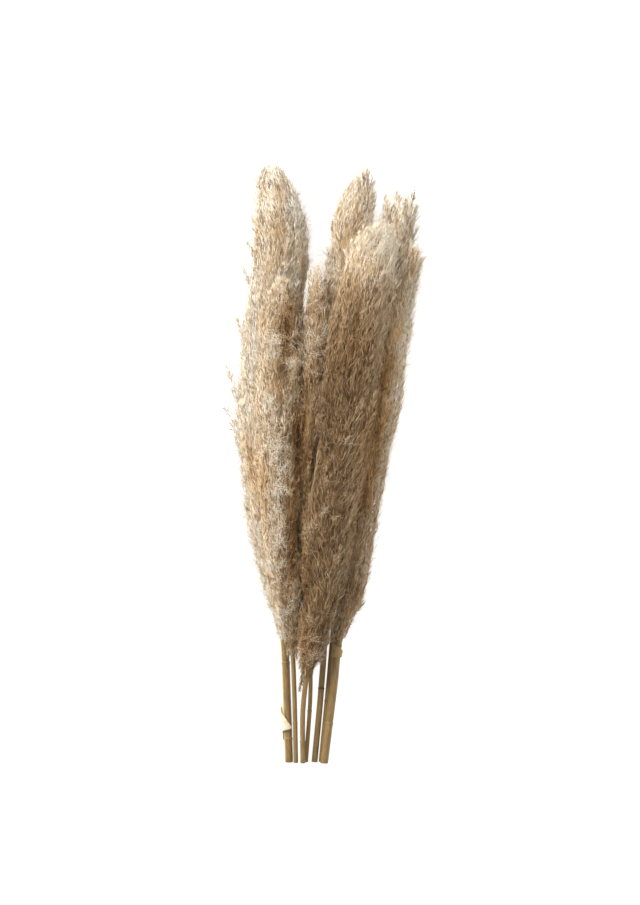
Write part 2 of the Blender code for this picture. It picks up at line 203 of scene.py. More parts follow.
CANES = (
    Cane(
        number=1, stem_radius=4.4, plume_start=-176, branches=40, locks=780, cover=7800,
        tassels=300, skirt=5, curls=1200, strays=1500,
        complexion=Complexion(
            slot=Slot.PALE,
            tones=((0, 0.76), (0.5, 0.78), (0.85, 0.75), (1, 0.83)),
            warmth=0.29,
            patches=(
                Patch(-8, -71, 56, 7, -0.11, 0.50, -0.14),
                Patch(250, -47, 48, 5, -0.15, 0.20, 0.13), Patch(285, -52, 26, 8, 0.08, 0.08),
                Patch(226, -28, 40, 7, 0.24, 0.06), Patch(215, -23, 36, 8, 0.06, 0.42),
                Patch(246, -42, 36, 6, -0.15, 0.06), Patch(125, -40, 40, 5, -0.34, 0.24, 0.10),
                Patch(112, -46, 34, 7, -0.12, 0.10, 0.10), Patch(98, -29, 14, 5, 0.25, 0.0),
                Patch(150, -70, 44, 9, 0.05, -0.12), Patch(-104, -57, 36, 9, 0.10, 0.0),
                Patch(-22, -55, 62, 8, -0.19, 0.16), Patch(120, -33, 90, 7, -0.05, 0.16),
                Patch(128, -57, 26, 8, -0.13, 0.04), Patch(-110, -46, 34, 7, -0.08, 0.06),
            ),
            contrast=1.0,
            mottle=0.10,
        ),
        joints=(-279, -200),
        joint_shade=0.12,
        wisps=(
            (112, -102, 22, 56, 5.0), (70, -102, 16, 60, 5.5), (158, -90, 20, 40, 5.0),
            (84, -95, 22, 34, 5.0), (36, -92, 16, 40, 5.0), (212, -84, 22, 46, 4.6),
            (296, -68, 22, 36, 5.5), (311, -62, 24, 36, 7.0), (313, -56, 22, 36, 8.0),
            (311, -48, 24, 36, 8.0), (308, -42, 20, 34, 7.0), (296, -34, 18, 36, 6.0),
            (284, -28, 20, 36, 5.0), (282, -72, 18, 32, 5.0), (262, -75, 20, 30, 4.6),
            (262, -19, 20, 32, 4.6), (236, -80, 20, 30, 4.4),
        ),
        frizz=(
            (130, -80, 22, 8, 16), (60, -86, 40, 6, 20), (-40, -76, 50, 8, 24),
            (-128, -56, 26, 7, 22),
        ),
        stations=(
            (-304, -35.3, 4.6, 4.4), (-240, -37.4, 7.4, 4.4), (-172, -40.5, 11.0, 6.5),
            (-130, -45.0, 14.0, 13.0), (-89, -50.5, 16.5, 18.5), (13, -59.5, 19.5, 26.0),
            (136, -53.5, 20.0, 28.5), (217, -43.0, 20.0, 28.0), (268, -45.0, 20.0, 23.5),
            (292, -49.0, 20.0, 17.0), (305, -52.0, 20.0, 11.5), (314, -53.0, 20.0, 3.0),
        ),
        fringe=(
            (-142, 62, 180, 700), (62, 210, 180, 200), (210, 308, 180, 160), (190, 308, 0, 140),
        ),
        mingling=((2, -150, 160, 22),),
        pale_flank=0.9,
    ),
    Cane(
        number=2, stem_radius=2.4, plume_start=-190, branches=34, locks=560, cover=6200,
        tassels=250, skirt=5, curls=1200, strays=700,
        complexion=Complexion(
            slot=Slot.PALE,
            tones=((0, 0.52), (0.2, 0.53), (0.5, 0.56), (0.9, 0.51), (1, 0.66)),
            warmth=0.43,
            patches=(
                Patch(60, -50, 60, 8, 0.06, -0.05), Patch(122, -39, 44, 5, -0.34, 0.22, 0.12),
                Patch(98, -29, 16, 5, 0.26, 0.0), Patch(20, -24, 26, 3, -0.30, 0.34),
                Patch(-86, -33, 34, 4, -0.24, 0.24), Patch(-110, -24, 60, 4, 0.08, 0.10),
                Patch(-165, -31, 24, 12, -0.11, 0.14), Patch(84, -24, 40, 4, 0.06, 0.10),
                Patch(-40, -25, 160, 8, -0.03, 0.22), Patch(-78, -36, 62, 9, -0.10, 0.12),
                Patch(-14, -62, 60, 7, -0.08, 0.34, -0.12), Patch(0, -28, 160, 8, -0.04, 0.20),
                Patch(128, -34, 30, 9, -0.12, 0.12),
            ),
            contrast=1.35,
            mottle=0.13,
        ),
        joints=(-262,),
        joint_shade=0.15,
        wisps=(
            (192, -36, 66, 34, 5.0), (188, -46, 60, 34, 5.0), (176, -28, 60, 30, 4.0),
            (180, -54, 58, 30, 4.0), (190, -25, 50, 36, 6.0), (178, -20, 48, 36, 6.0),
            (-186, -26, 26, -44, 4.5), (-196, -27, 22, -36, 3.0), (-176, -22, 32, -40, 4.5),
        ),
        frizz=(
            (120, -50, 10, 12, 20), (98, -30, 8, 4, 8), (20, -48, 16, 5, 16), (-22, -46, 8, 5, 12),
            (60, -56, 16, 6, 10), (-70, -48, 30, 6, 18), (-150, -36, 24, 8, 26),
            (0, -28, 90, 4, 16),
        ),
        stations=(
            (-304, -28.0, 9.6, 2.4), (-222, -29.8, 17.0, 2.4), (-188, -31.2, 22.0, 5.0),
            (-140, -35.5, 34.0, 15.0), (-89, -38.5, 45.0, 20.0), (13, -40.5, 58.5, 25.5),
            (80, -40.5, 62.0, 25.0), (136, -39.0, 63.0, 23.0), (170, -40.0, 62.0, 15.0),
            (195, -41.0, 61.0, 1.5),
        ),
        mingling=(
            (5, -186, -150, 26), (5, -160, -20, 70), (5, -20, 110, 40), (1, -120, 170, 20),
            (3, 60, 160, 14),
        ),
    ),
    Cane(
        number=3, stem_radius=2.2, plume_start=-186, branches=20, locks=300, cover=3400,
        tassels=110, skirt=2, curls=450, strays=400,
        complexion=Complexion(
            slot=Slot.TAN,
            tones=((0, 0.41), (0.5, 0.36), (0.8, 0.43), (0.93, 0.56), (1, 0.67)),
            warmth=0.48,
            patches=(
                Patch(158, -6, 32, 9, -0.10, 0.06), Patch(44, -15, 44, 7, -0.07, 0.06),
                Patch(20, -22, 26, 3, -0.22, 0.20), Patch(0, -18, 160, 9, 0.0, 0.20),
            ),
            contrast=0.85,
        ),
        joints=(-250,),
        joint_shade=0.25,
        wisps=(
            (212, 3, 70, 30, 3.0), (206, -6, 66, 28, 3.0), (200, 8, 70, 28, 3.0),
            (198, -11, 56, 36, 6.0), (186, -15, 48, 36, 6.0), (174, -17, 44, 36, 6.0),
            (204, -14, 44, 46, 6.5), (198, -17, 38, 46, 6.5), (208, -9, 54, 40, 6.0),
            (188, -14, 50, 40, 6.0),
        ),
        frizz=((150, -4, 14, 7, 10), (118, -8, 14, 7, 12), (200, 1, 8, 8, 9)),
        stations=(
            (-304, -17.6, 4.6, 2.2), (-222, -12.8, 11.5, 2.2), (-185, -13.5, 18.0, 3.6),
            (-89, -21.0, 43.0, 11.0), (13, -14.0, 66.0, 14.0), (80, -9.0, 70.0, 15.5),
            (136, -5.0, 70.0, 15.5), (176, -2.5, 69.0, 10.5), (202, 0.0, 68.0, 1.5),
        ),
        fringe=((150, 200, 180, 50),),
        mingling=((5, -60, 30, 34), (5, 20, 160, 14), (2, 20, 150, 10)),
    ),
    Cane(
        number=4, stem_radius=3.1, plume_start=-178, branches=40, locks=500, cover=6200,
        tassels=150, skirt=3, curls=500, strays=1000,
        complexion=Complexion(
            slot=Slot.TAN,
            tones=((0, 0.50), (0.6, 0.60), (1, 0.79)),
            warmth=0.46,
            patches=(
                Patch(190, 14, 20, 12, 0.08, -0.12), Patch(198, 26, 32, 8, -0.20, 0.05),
            ),
            contrast=0.55,
        ),
        joints=(-227,),
        joint_shade=1,
        wisps=(
            (312, 41, 18, 46, 5.5), (303, 37, 22, 44, 6.0), (300, 45, 16, 40, 5.0),
            (284, 24, 20, 36, 5.0), (274, 16, 20, 34, 5.0), (278, 51, 18, 40, 4.6),
            (256, 8, 20, 34, 4.6), (228, 4, 20, 34, 4.6),
        ),
        frizz=((200, 8, 18, 6, 10),),
        stations=(
            (-304, -8.8, 3.5, 3.1), (-227, -1.8, 7.6, 3.1), (-172, 1.5, 10.5, 5.5),
            (-89, -5.0, 14.5, 18.0), (13, -5.0, 16.5, 24.0), (136, 12.0, 17.5, 24.5),
            (217, 28.5, 17.5, 21.0), (262, 33.0, 17.5, 19.5), (286, 37.5, 17.5, 13.0),
            (310, 41.5, 17.5, 1.5),
        ),
        fringe=((190, 304, 180, 130), (240, 308, 0, 60)),
    ),
    Cane(
        number=5, stem_radius=2.6, plume_start=-214, branches=50, locks=840, cover=8600,
        tassels=350, skirt=6, curls=1000, strays=1100,
        complexion=Complexion(
            slot=Slot.PALE,
            tones=(
                (0, 0.40), (0.5, 0.23), (0.66, 0.25), (0.8, 0.39), (0.86, 0.56), (0.90, 0.81),
                (1, 0.90),
            ),
            warmth=0.54,
            patches=(
                Patch(30, 52, 60, 8, 0.0, 0.34, 0.16), Patch(110, 56, 60, 6, 0.10, -0.10, 0.12),
                Patch(30, 36, 90, 11, 0.14, 0.14, 0.1), Patch(0, 30, 170, 13, 0.07, 0.0, 0.10),
                Patch(50, 4, 80, 8, -0.08, 0.0, 0.08), Patch(112, 26, 34, 18, -0.04, 0.14),
                Patch(-60, 40, 44, 6, -0.04, 0.26, 0.16), Patch(-110, 28, 30, 6, -0.08, 0.22, 0.2),
                Patch(-30, 2, 60, 6, 0.05, -0.06, 0.1), Patch(-38, -15, 26, 8, 0.07, -0.04),
                Patch(-120, -15, 60, 10, -0.17, 0.06), Patch(-90, -22, 60, 4, 0.07, 0.0),
                Patch(-60, -20, 150, 7, 0.0, 0.20), Patch(150, 60, 30, 8, 0.08, 0.10),
                Patch(-186, -12, 26, 10, -0.12, 0.08), Patch(-178, -22, 30, 6, -0.10, 0.10),
                Patch(200, 22, 26, 10, -0.24, 0.05), Patch(226, 50, 26, 30, 0.0, 0.08),
            ),
            contrast=0.75,
            mottle=0.05,
        ),
        joints=(-281,),
        joint_shade=0.15,
        wisps=(
            (238, 36, 80, 22, 8.0), (243, 44, 80, 22, 9.0), (246, 53, 78, 22, 9.0),
            (245, 63, 74, 22, 9.0), (238, 71, 72, 24, 8.0), (230, 28, 80, 22, 7.0),
            (220, 20, 78, 22, 6.0), (-188, -25, 30, -44, 5.0), (-196, -22, 30, -40, 4.5),
            (-206, -25, 26, -34, 2.6), (-222, -22, 24, -30, 2.2), (-230, -25, 22, -24, 1.6),
            (-200, -4, 34, -34, 4.0),
        ),
        frizz=(
            (-185, -12, 16, 8, 22), (224, 50, 13, 17, 44), (-60, 0, 50, 14, 6),
            (-40, -20, 90, 5, 34),
        ),
        stations=(
            (-304, -20.8, 11.6, 2.6), (-240, -20.0, 19.6, 2.6), (-212, -16.5, 26.5, 5.0),
            (-191, -12.5, 34.0, 10.5), (-130, -1.5, 49.0, 20.0), (-38, 7.0, 63.0, 30.0),
            (23, 15.0, 67.0, 34.0), (85, 22.5, 70.0, 35.0), (136, 30.0, 71.0, 34.0),
            (184, 41.5, 71.0, 29.0), (218, 50.5, 70.0, 22.0), (234, 55.0, 69.0, 14.0),
            (248, 59.0, 68.0, 1.5),
        ),
        twigs=((-221, -21, 22, -5.4, -1.0, 0.8, -0.06),),
        mingling=(
            (2, -192, -150, 22), (2, -170, 100, 72), (3, -55, 20, 18), (3, 20, 170, 14),
            (7, -130, 190, 26), (4, 150, 215, 8),
        ),
    ),
    Cane(
        number=6, stem_radius=2.9, plume_start=-168, branches=34, locks=400, cover=4400,
        tassels=150, skirt=2, curls=320, strays=900,
        complexion=Complexion(
            slot=Slot.BROWN,
            tones=((0, 0.55), (0.6, 0.63), (1, 0.80)),
            warmth=0.49,
            patches=(),
            contrast=0.9,
        ),
        joints=(-240,),
        joint_shade=0.3,
        wisps=(
            (287, 63.5, 18, 50, 4.4), (278, 66, 22, 40, 4.4), (289, 75.5, 16, 52, 4.4),
            (278, 77, 22, 40, 4.4), (288, 92, 14, 56, 4.4), (276, 89, 22, 44, 4.4),
            (274, 97, 16, 40, 4.0), (262, 58, 14, 34, 4.4), (250, 98, 16, 32, 4.2),
        ),
        frizz=(),
        stations=(
            (-304, -1.6, 3.2, 2.9), (-222, 6.2, 6.4, 2.9), (-165, 11.0, 9.6, 4.5),
            (-89, 20.0, 12.0, 12.0), (13, 36.0, 13.5, 18.0), (136, 54.0, 14.0, 20.0),
            (217, 70.0, 14.5, 21.0), (246, 75.0, 14.5, 18.5), (262, 78.0, 14.5, 13.0),
            (274, 80.0, 14.5, 6.0), (284, 82.0, 14.5, 1.5),
        ),
        fringe=((200, 284, 0, 90),),
        twigs=((274, 91.5, 34, 2.9, 0.4, 1.7, -0.85),),
    ),
    Cane(
        number=7, stem_radius=4.0, plume_start=-176, branches=34, locks=420, cover=4400,
        tassels=190, skirt=3, curls=520, strays=1000,
        complexion=Complexion(
            slot=Slot.BROWN,
            tones=((0, 0.53), (0.3, 0.57), (0.5, 0.63), (0.7, 0.79), (1, 0.86)),
            warmth=0.63,
            patches=(
                Patch(90, 62, 60, 6, 0.02, 0.40, 0.12), Patch(0, 46, 50, 6, -0.02, 0.40, 0.2),
                Patch(-80, 36, 50, 6, 0.06, -0.05, 0.1), Patch(120, 88, 100, 9, 0.14, 0.0, 0.12),
                Patch(160, 78, 40, 14, 0.15, 0.06, 0.1), Patch(155, 64, 40, 8, 0.08, 0.0, 0.1),
            ),
            contrast=0.9,
            mottle=0.08,
        ),
        joints=(-262, -181),
        joint_shade=0.15,
        wisps=(
            (224, 97, 42, 36, 3.6), (216, 101, 36, 36, 3.4), (228, 91, 40, 36, 3.6),
            (206, 100, 42, 34, 3.4), (148, 90, 40, 44, 2.8), (196, 97, 38, 34, 3.6),
        ),
        frizz=((30, 60, 60, 5, 10),),
        stations=(
            (-304, 1.2, 11.4, 4.0), (-222, 11.2, 17.0, 4.0), (-172, 17.0, 21.0, 7.0),
            (-137, 27.0, 25.0, 12.5), (-75, 37.0, 31.0, 14.0), (-2, 48.5, 36.0, 15.5),
            (59, 62.0, 39.0, 16.0), (108, 68.5, 40.0, 15.0), (157, 76.5, 40.0, 14.0),
            (195, 86.0, 39.0, 10.5), (215, 94.0, 38.0, 5.5), (226, 98.0, 38.0, 1.5),
        ),
        fringe=((90, 222, 0, 120),),
        mingling=((5, -120, 180, 22),),
    ),
)


def unit(vectors: Array) -> Array:
    """Vectors of length one, along the last axis."""
    return vectors / np.maximum(np.linalg.norm(vectors, axis=-1, keepdims=True), NOTHING)


def blend(start: float, end: float, part: Array) -> Array:
    """Values that run from start to end as part goes from 0 to 1."""
    return start + (end - start) * part


def around(turn: Array) -> Array:
    """Unit directions square to a cane's line, at these turns about it."""
    return np.column_stack([np.cos(turn), np.zeros(len(turn)), np.sin(turn)])


def slimmer(reach: Array, least: float = 0.5, full: float = 0.04) -> Array:
    """How much of its size hair keeps where a head is slim.

    Args:
        reach: how far the head reaches there.
        least: the share that is kept where it hardly reaches.
        full: the reach that would add a whole size to it.

    Returns:
        Shares from 0 to 1.
    """
    return (least + reach / full).clip(0, 1)


def made_mesh(shape: Any, name: str) -> bpy.types.Mesh:
    """Turns a bmesh into a mesh.

    Args:
        shape: the bmesh, which is freed.
        name: the mesh's name.

    Returns:
        The mesh.
    """
    mesh = bpy.data.meshes.new(name)
    shape.to_mesh(mesh)
    shape.free()
    return mesh


def placed(name: str, data: Any) -> bpy.types.Object:
    """Puts an object in the scene.

    Args:
        name: its name.
        data: its mesh, lamp or camera.

    Returns:
        The object.
    """
    made = bpy.data.objects.new(name, data)
    bpy.context.scene.collection.objects.link(made)
    return made


def draw_tube(
    shape: Any,
    sides: int,
    stops: Sequence[Any],
    set_ring: Callable[[Sequence[Any], Any], None],
    keeps_foot: bool = False,
) -> None:
    """Draws a tube out of its first ring.

    Args:
        shape: the bmesh that it is made in.
        sides: how many sides it has.
        stops: what set_ring is told of each ring.
        set_ring: sets the points of a ring.
        keeps_foot: whether the first ring stays closed.
    """
    drawn = bmesh.ops.create_circle(shape, cap_ends=True, segments=sides, radius=1.0)
    rim = drawn["verts"]
    end = shape.faces[:]
    set_ring(rim, stops[0])
    for number, stop in enumerate(stops[1:]):
        grown = bmesh.ops.extrude_face_region(shape, geom=end)
        if number or not keeps_foot:
            bmesh.ops.delete(shape, geom=end, context="FACES_ONLY")
        fresh = {item for item in grown["geom"] if isinstance(item, bmesh.types.BMVert)}
        end = [item for item in grown["geom"] if isinstance(item, bmesh.types.BMFace)]
        rim = [
            next(e.other_vert(v) for e in v.link_edges if e.other_vert(v) in fresh)
            for v in rim
        ]
        set_ring(rim, stop)
    bmesh.ops.recalc_face_normals(shape, faces=shape.faces)


class Course:
    """The line that a cane follows, and how far it reaches on each side of it."""

    def __init__(self, cane: Cane) -> None:
        """Reads a cane's stations into metres and finds a smooth slope at each.

        Args:
            cane: the cane whose layout is read.
        """
        rows = np.array(cane.stations, float) * MM
        rows[:, 0] += LAYOUT_SHIFT[1]
        rows[:, 1] += LAYOUT_SHIFT[0]
        self.start = float(rows[0, 0])
        self.tip = float(rows[-1, 0])
        self.along = rows[:, 0]
        self.values = rows[:, 1:]
        steps = np.diff(self.along)
        climbs = np.diff(self.values, axis=0) / steps[:, None]
        inner = (climbs[:-1] * steps[1:, None] + climbs[1:] * steps[:-1, None]) / (
            steps[:-1] + steps[1:]
        )[:, None]
        self.slopes = np.vstack([climbs[:1], inner, climbs[-1:]])

    def at(self, along: Array) -> tuple[Array, Array]:
        """The line's centre and reach.

        Args:
            along: places along the bundle.

        Returns:
            The centres, as rows of X and Z, and the reach at each.
        """
        held = np.clip(along, self.start, self.tip)
        k = np.clip(np.searchsorted(self.along, held) - 1, 0, len(self.along) - 2)
        step = (self.along[k + 1] - self.along[k])[..., None]
        t = (held[..., None] - self.along[k][..., None]) / step
        made = (
            (2 * t**3 - 3 * t**2 + 1) * self.values[k]
            + (t**3 - 2 * t**2 + t) * self.slopes[k] * step
            + (3 * t**2 - 2 * t**3) * self.values[k + 1]
            + (t**3 - t**2) * self.slopes[k + 1] * step
        )
        return made[..., :2], np.maximum(made[..., 2], LEAST_REACH)

    def hold(self, along: Array) -> Array:
        """How strongly the cane holds its space against its neighbours."""
        held = np.maximum(HOLD_SHARE * self.at(along)[1], STEM_HOLD) ** 2
        return np.where(along > self.tip, -(((along - self.tip) * TIP_FADE) ** 2), held)


class Layout:
    """Where every cane of the bundle runs, and the room that each has."""

    def __init__(self, canes: Sequence[Cane]) -> None:
        """Reads the courses of all canes.

        Args:
            canes: the canes of the bundle.
        """
        self.courses = {cane.number: Course(cane) for cane in canes}

    def room(self, number: int, along: Array, toward: Array, give: Array | float = 0.0) -> Array:
        """How far a cane may reach from its line in given directions.

        Args:
            number: the cane's number.
            along: places along the bundle.
            toward: unit rows of X and Z, one for each place.
            give: how far it may reach past its share, in among its neighbours.

        Returns:
            The most distance from the line at each place.
        """
        course = self.courses[number]
        centre = course.at(along)[0]
        held = course.hold(along)
        limit = np.ones(len(along))
        down = toward[:, 1] < -NOTHING
        floor_limit = (centre[down, 1] - FLOOR_MARGIN) / -toward[down, 1]
        limit[down] = floor_limit
        for other, its_course in self.courses.items():
            if other == number:
                continue
            offset = its_course.at(along)[0] - centre
            facing = (toward * offset).sum(axis=1)
            share = ((offset**2).sum(axis=1) + held - its_course.hold(along)) / 2
            near = facing > NOTHING
            limit[near] = np.minimum(limit[near], share[near] / facing[near] - CANE_MARGIN)
        limit = limit + give
        limit[down] = np.minimum(limit[down], floor_limit)
        return np.maximum(limit, LEAST_ROOM)

    def settle(self, number: int, points: Array, give: Array | float = 0.0) -> Array:
        """Sets points in the frame, pressed into their cane's own room.

        Args:
            number: the cane's number.
            points: rows of (offset across, place along, offset up) from its line.
            give: how far each may reach past the cane's share.

        Returns:
            Rows of X, Y and Z in the frame.
        """
        along = points[:, 1]
        offset = points[:, [0, 2]]
        distance = np.maximum(np.linalg.norm(offset, axis=1), LEAST_DISTANCE)
        toward = offset / distance[:, None]
        limit = self.room(number, along, toward, give)
        pressed = (distance**-SQUEEZE_POWER + limit**-SQUEEZE_POWER) ** (-1 / SQUEEZE_POWER)
        centre = self.courses[number].at(along)[0] + toward * pressed[:, None]
        return np.column_stack([centre[:, 0], along, centre[:, 1]])


class Socket:
    """A shader value that Python's operators work on, each adding one Math node."""

    def __init__(self, graph: "Graph", socket: Any) -> None:
        """Wraps an output socket.

        Args:
            graph: the graph that it belongs to.
            socket: the socket.
        """
        self.graph = graph
        self.socket = socket

    def _math(self, operation: str, first: Any, second: Any) -> "Socket":
        """One Math node on two values or sockets."""
        return self.graph.node("ShaderNodeMath", {"operation": operation}, {0: first, 1: second})

    def __add__(self, other: Any) -> "Socket":
        """The sum."""
        return self._math("ADD", self, other)

    def __radd__(self, other: Any) -> "Socket":
        """The sum, with the number first."""
        return self._math("ADD", other, self)

    def __sub__(self, other: Any) -> "Socket":
        """The difference."""
        return self._math("SUBTRACT", self, other)

    def __rsub__(self, other: Any) -> "Socket":
        """The difference, with the number first."""
        return self._math("SUBTRACT", other, self)

    def __mul__(self, other: Any) -> "Socket":
        """The product."""
        return self._math("MULTIPLY", self, other)

    def __rmul__(self, other: Any) -> "Socket":
        """The product, with the number first."""
        return self._math("MULTIPLY", other, self)

    def __pow__(self, other: Any) -> "Socket":
        """The power."""
        return self._math("POWER", self, other)

    def over(self, low: float, high: float) -> "Socket":
        """A mask that rises smoothly.

        Args:
            low: the value up to which it is 0.
            high: the value from which it is 1.

        Returns:
            The mask.
        """
        return self.graph.node(
            "ShaderNodeMapRange",
            {"interpolation_type": "SMOOTHSTEP", "clamp": True},
            {"Value": self, "From Min": low, "From Max": high},
        )


class Graph:
    """The node graph of one material."""

    def __init__(self, name: str) -> None:
        """Starts a material with a Principled shader in it.

        Args:
            name: the material's name.
        """
        self.material = bpy.data.materials.new(name)
        self.material.use_nodes = True
        self.tree = self.material.node_tree
        self.shader = self.tree.nodes["Principled BSDF"]

    def node(
        self, kind: str, settings: dict[str, Any], inputs: dict[Any, Any], output: Any = 0
    ) -> Socket:
        """Adds a node.

        Args:
            kind: the node's type.
            settings: properties that are set first. A list of (place, colour) under
                "stops" fills a colour ramp.
            inputs: a value or a link for each input, by name or number.
            output: the name or number of the output that is returned.

        Returns:
            The chosen output.
        """
        made = self.tree.nodes.new(kind)
        for key, value in settings.items():
            if key == "stops":
                self._fill_ramp(made.color_ramp, value)
            else:
                setattr(made, key, value)
        for key, value in inputs.items():
            if isinstance(value, Socket):
                self.tree.links.new(value.socket, made.inputs[key])
            else:
                made.inputs[key].default_value = value
        return Socket(self, made.outputs[output])

    @staticmethod
    def _fill_ramp(ramp: Any, stops: Iterable[tuple[float, Colour]]) -> None:
        """Puts stops on a colour ramp.

        Args:
            ramp: the ramp.
            stops: the place and the colour of each.
        """
        rows = list(stops)
        while len(ramp.elements) < len(rows):
            ramp.elements.new(1.0)
        for element, (place, colour) in zip(ramp.elements, rows):
            element.position = place
            element.color = (*colour, 1.0)

    def map_named(self, name: str) -> Socket:
        """The piece's own UV map, as a vector."""
        return self.node("ShaderNodeUVMap", {"uv_map": name}, {})

    def painted(self, name: str) -> Socket:
        """A value that the piece carries at each of its points.

        Args:
            name: the value's name.

        Returns:
            The value.
        """
        return self.node(
            "ShaderNodeAttribute",
            {"attribute_name": name, "attribute_type": "GEOMETRY"},
            {},
            "Fac",
        )

    def part(self, vector: Socket, axis: str) -> Socket:
        """One component of a vector."""
        return self.node("ShaderNodeSeparateXYZ", {}, {0: vector}, axis)

    def scaled(self, vector: Socket, scale: Triple) -> Socket:
        """A vector stretched along each axis."""
        return self.node("ShaderNodeMapping", {}, {"Vector": vector, "Scale": scale})

    def speckle(self, vector: Socket, scale: float, detail: float = 3.0) -> Socket:
        """Smooth noise.

        Args:
            vector: where it is looked up.
            scale: how fine it is.
            detail: how many finer layers it has.

        Returns:
            The noise, from 0 to 1.
        """
        return self.node(
            "ShaderNodeTexNoise", {}, {"Vector": vector, "Scale": scale, "Detail": detail}
        )

    def mix(self, mask: Any, first: Any, second: Any, way: str = "MIX") -> Socket:
        """A colour between two, by a mask.

        Args:
            mask: 0 for the first colour, 1 for the second laid over it.
            first: a colour or a link.
            second: a colour or a link.
            way: how the second is laid over the first.

        Returns:
            The mixed colour.
        """
        return self.node(
            "ShaderNodeMix",
            {"data_type": "RGBA", "blend_type": way, "clamp_factor": True},
            {0: mask, 6: self._colour(first), 7: self._colour(second)},
            2,
        )

    @staticmethod
    def _colour(value: Any) -> Any:
        """A colour with its alpha, or the link that it is."""
        return value if isinstance(value, Socket) else (*value, 1.0)

    def finish(self, links: dict[str, Socket], values: dict[str, Any]) -> bpy.types.Material:
        """Sets the shader's sockets.

        Args:
            links: what varies over the surface, by socket name.
            values: what is the same all over.

        Returns:
            The finished material.
        """
        for key, value in values.items():
            self.shader.inputs[key].default_value = value
        for key, link in links.items():
            self.tree.links.new(link.socket, self.shader.inputs[key])
        return self.material

    def bump(self, height: Socket, strength: float, distance: float) -> Socket:
        """A bumped normal.

        Args:
            height: how high the surface stands.
            strength: how much of the bump shows.
            distance: how high a height of 1 stands.

        Returns:
            The normal.
        """
        return self.node(
            "ShaderNodeBump",
            {},
            {"Height": height, "Strength": strength, "Distance": distance},
        )


@dataclass(frozen=True)
class SilkFinish:
    """Dry silky hair, whose tone and warmth come from the hair's own map."""

    name: str
    shadow: Colour = (0.100, 0.056, 0.022)
    deep: Colour = (0.29, 0.182, 0.086)
    body: Colour = (0.56, 0.405, 0.240)
    light: Colour = (0.82, 0.690, 0.515)
    cream: Colour = (0.97, 0.925, 0.810)
    golden: Colour = (1.0, 0.78, 0.48)
    ashen: Colour = (0.88, 0.92, 1.0)
    fleck: Colour = (0.86, 0.78, 0.66)
    fleck_scale: Triple = (60.0, 60.0, 1.0)
    fleck_share: float = 0.18
    roughness: float = 0.62
    specular: float = 0.3
    sheen: float = 0.05
    sheen_roughness: float = 0.45

    def make(self) -> bpy.types.Material:
        """Builds the material."""
        graph = Graph(self.name)
        place = graph.map_named(COLOUR_MAP)
        tone = graph.part(place, "X")
        warmth = graph.part(place, "Y")
        colours = (self.shadow, self.deep, self.body, self.light, self.cream)
        stops = tuple((number / 4, colour) for number, colour in enumerate(colours))
        base = graph.node("ShaderNodeValToRGB", {"stops": stops}, {"Fac": tone})
        gilded = graph.mix(warmth.over(0.5, 1.0), base, self.golden, "MULTIPLY")
        toned = graph.mix(1 - warmth.over(0.0, 0.5), gilded, self.ashen, "MULTIPLY")
        fleck = graph.speckle(graph.scaled(place, self.fleck_scale), 1.0)
        flecked = fleck.over(0.35, 0.7) * self.fleck_share
        shade = graph.mix(flecked, toned, self.fleck, "MULTIPLY")
        return graph.finish(
            {"Base Color": shade, "Roughness": self.roughness + fleck * 0.2},
            {
                "Specular IOR Level": self.specular,
                "Sheen Weight": self.sheen,
                "Sheen Roughness": self.sheen_roughness,
            },
        )


@dataclass(frozen=True)
class CulmFinish:
    """A dry culm: golden straw, with olive and reddish streaks along its fibres."""

    name: str
    straw: Colour = (0.235, 0.146, 0.054)
    pale: Colour = (0.35, 0.232, 0.098)
    olive: Colour = (0.22, 0.155, 0.053)
    rust: Colour = (0.33, 0.150, 0.060)
    ring: Colour = (0.085, 0.050, 0.020)
    # The colour of a painted highlight along the flank that the key light falls on.
    painted_highlight: Colour = (0.86, 0.74, 0.46)
    fibre_scale: Triple = (34.0, 9.0, 1.0)
    band_scale: Triple = (5.0, 6.0, 1.0)
    patch_scale: Triple = (2.5, 14.0, 1.0)
    olive_share: float = 0.75
    rust_share: float = 0.3
    roughness: float = 0.36
    specular: float = 0.45
    bump: Pair = (0.35, 0.0005)

    def make(self) -> bpy.types.Material:
        """Builds the material."""
        graph = Graph(self.name)
        place = graph.map_named(FIBRE_MAP)
        ring = graph.painted(RING_SHADE)
        flank = graph.painted(FLANK_HIGHLIGHT)
        fibres = graph.speckle(graph.scaled(place, self.fibre_scale), 1.0, 4.0)
        bands = graph.speckle(graph.scaled(place, self.band_scale), 1.0, 2.0)
        patches = graph.speckle(graph.scaled(place, self.patch_scale), 1.0, 3.0)
        straw = graph.mix(fibres.over(0.35, 0.68), self.straw, self.pale)
        green = graph.mix(bands.over(0.48, 0.66) * self.olive_share, straw, self.olive)
        red = graph.mix(patches.over(0.52, 0.74) * self.rust_share, green, self.rust)
        # Paints a highlight along the lit flank.
        highlighted = graph.mix(flank * (0.55 + fibres * 0.6), red, self.painted_highlight)
        dark = graph.mix(ring, highlighted, self.ring)
        height = fibres * 0.7 + patches * 0.3
        return graph.finish(
            {
                "Base Color": dark,
                "Roughness": self.roughness + fibres * 0.26,
                "Normal": graph.bump(height, *self.bump),
            },
            {"Specular IOR Level": self.specular},
        )


@dataclass(frozen=True)
class PithFinish:
    """The pale spongy pith of a cut end."""

    name: str
    pore: Colour = (0.36, 0.26, 0.14)
    wall: Colour = (0.78, 0.69, 0.50)
    pore_scale: float = 2600.0
    roughness: float = 0.85
    bump: Pair = (0.4, 0.0003)

    def make(self) -> bpy.types.Material:
        """Builds the material."""
        graph = Graph(self.name)
        place = graph.node("ShaderNodeTexCoord", {}, {}, "Object")
        pores = graph.node(
            "ShaderNodeTexVoronoi", {}, {"Vector": place, "Scale": self.pore_scale}, "Distance"
        )
        colour = graph.mix(pores.over(0.1, 0.5), self.pore, self.wall)
        return graph.finish(
            {"Base Color": colour, "Normal": graph.bump(pores, *self.bump)},
            {"Roughness": self.roughness},
        )


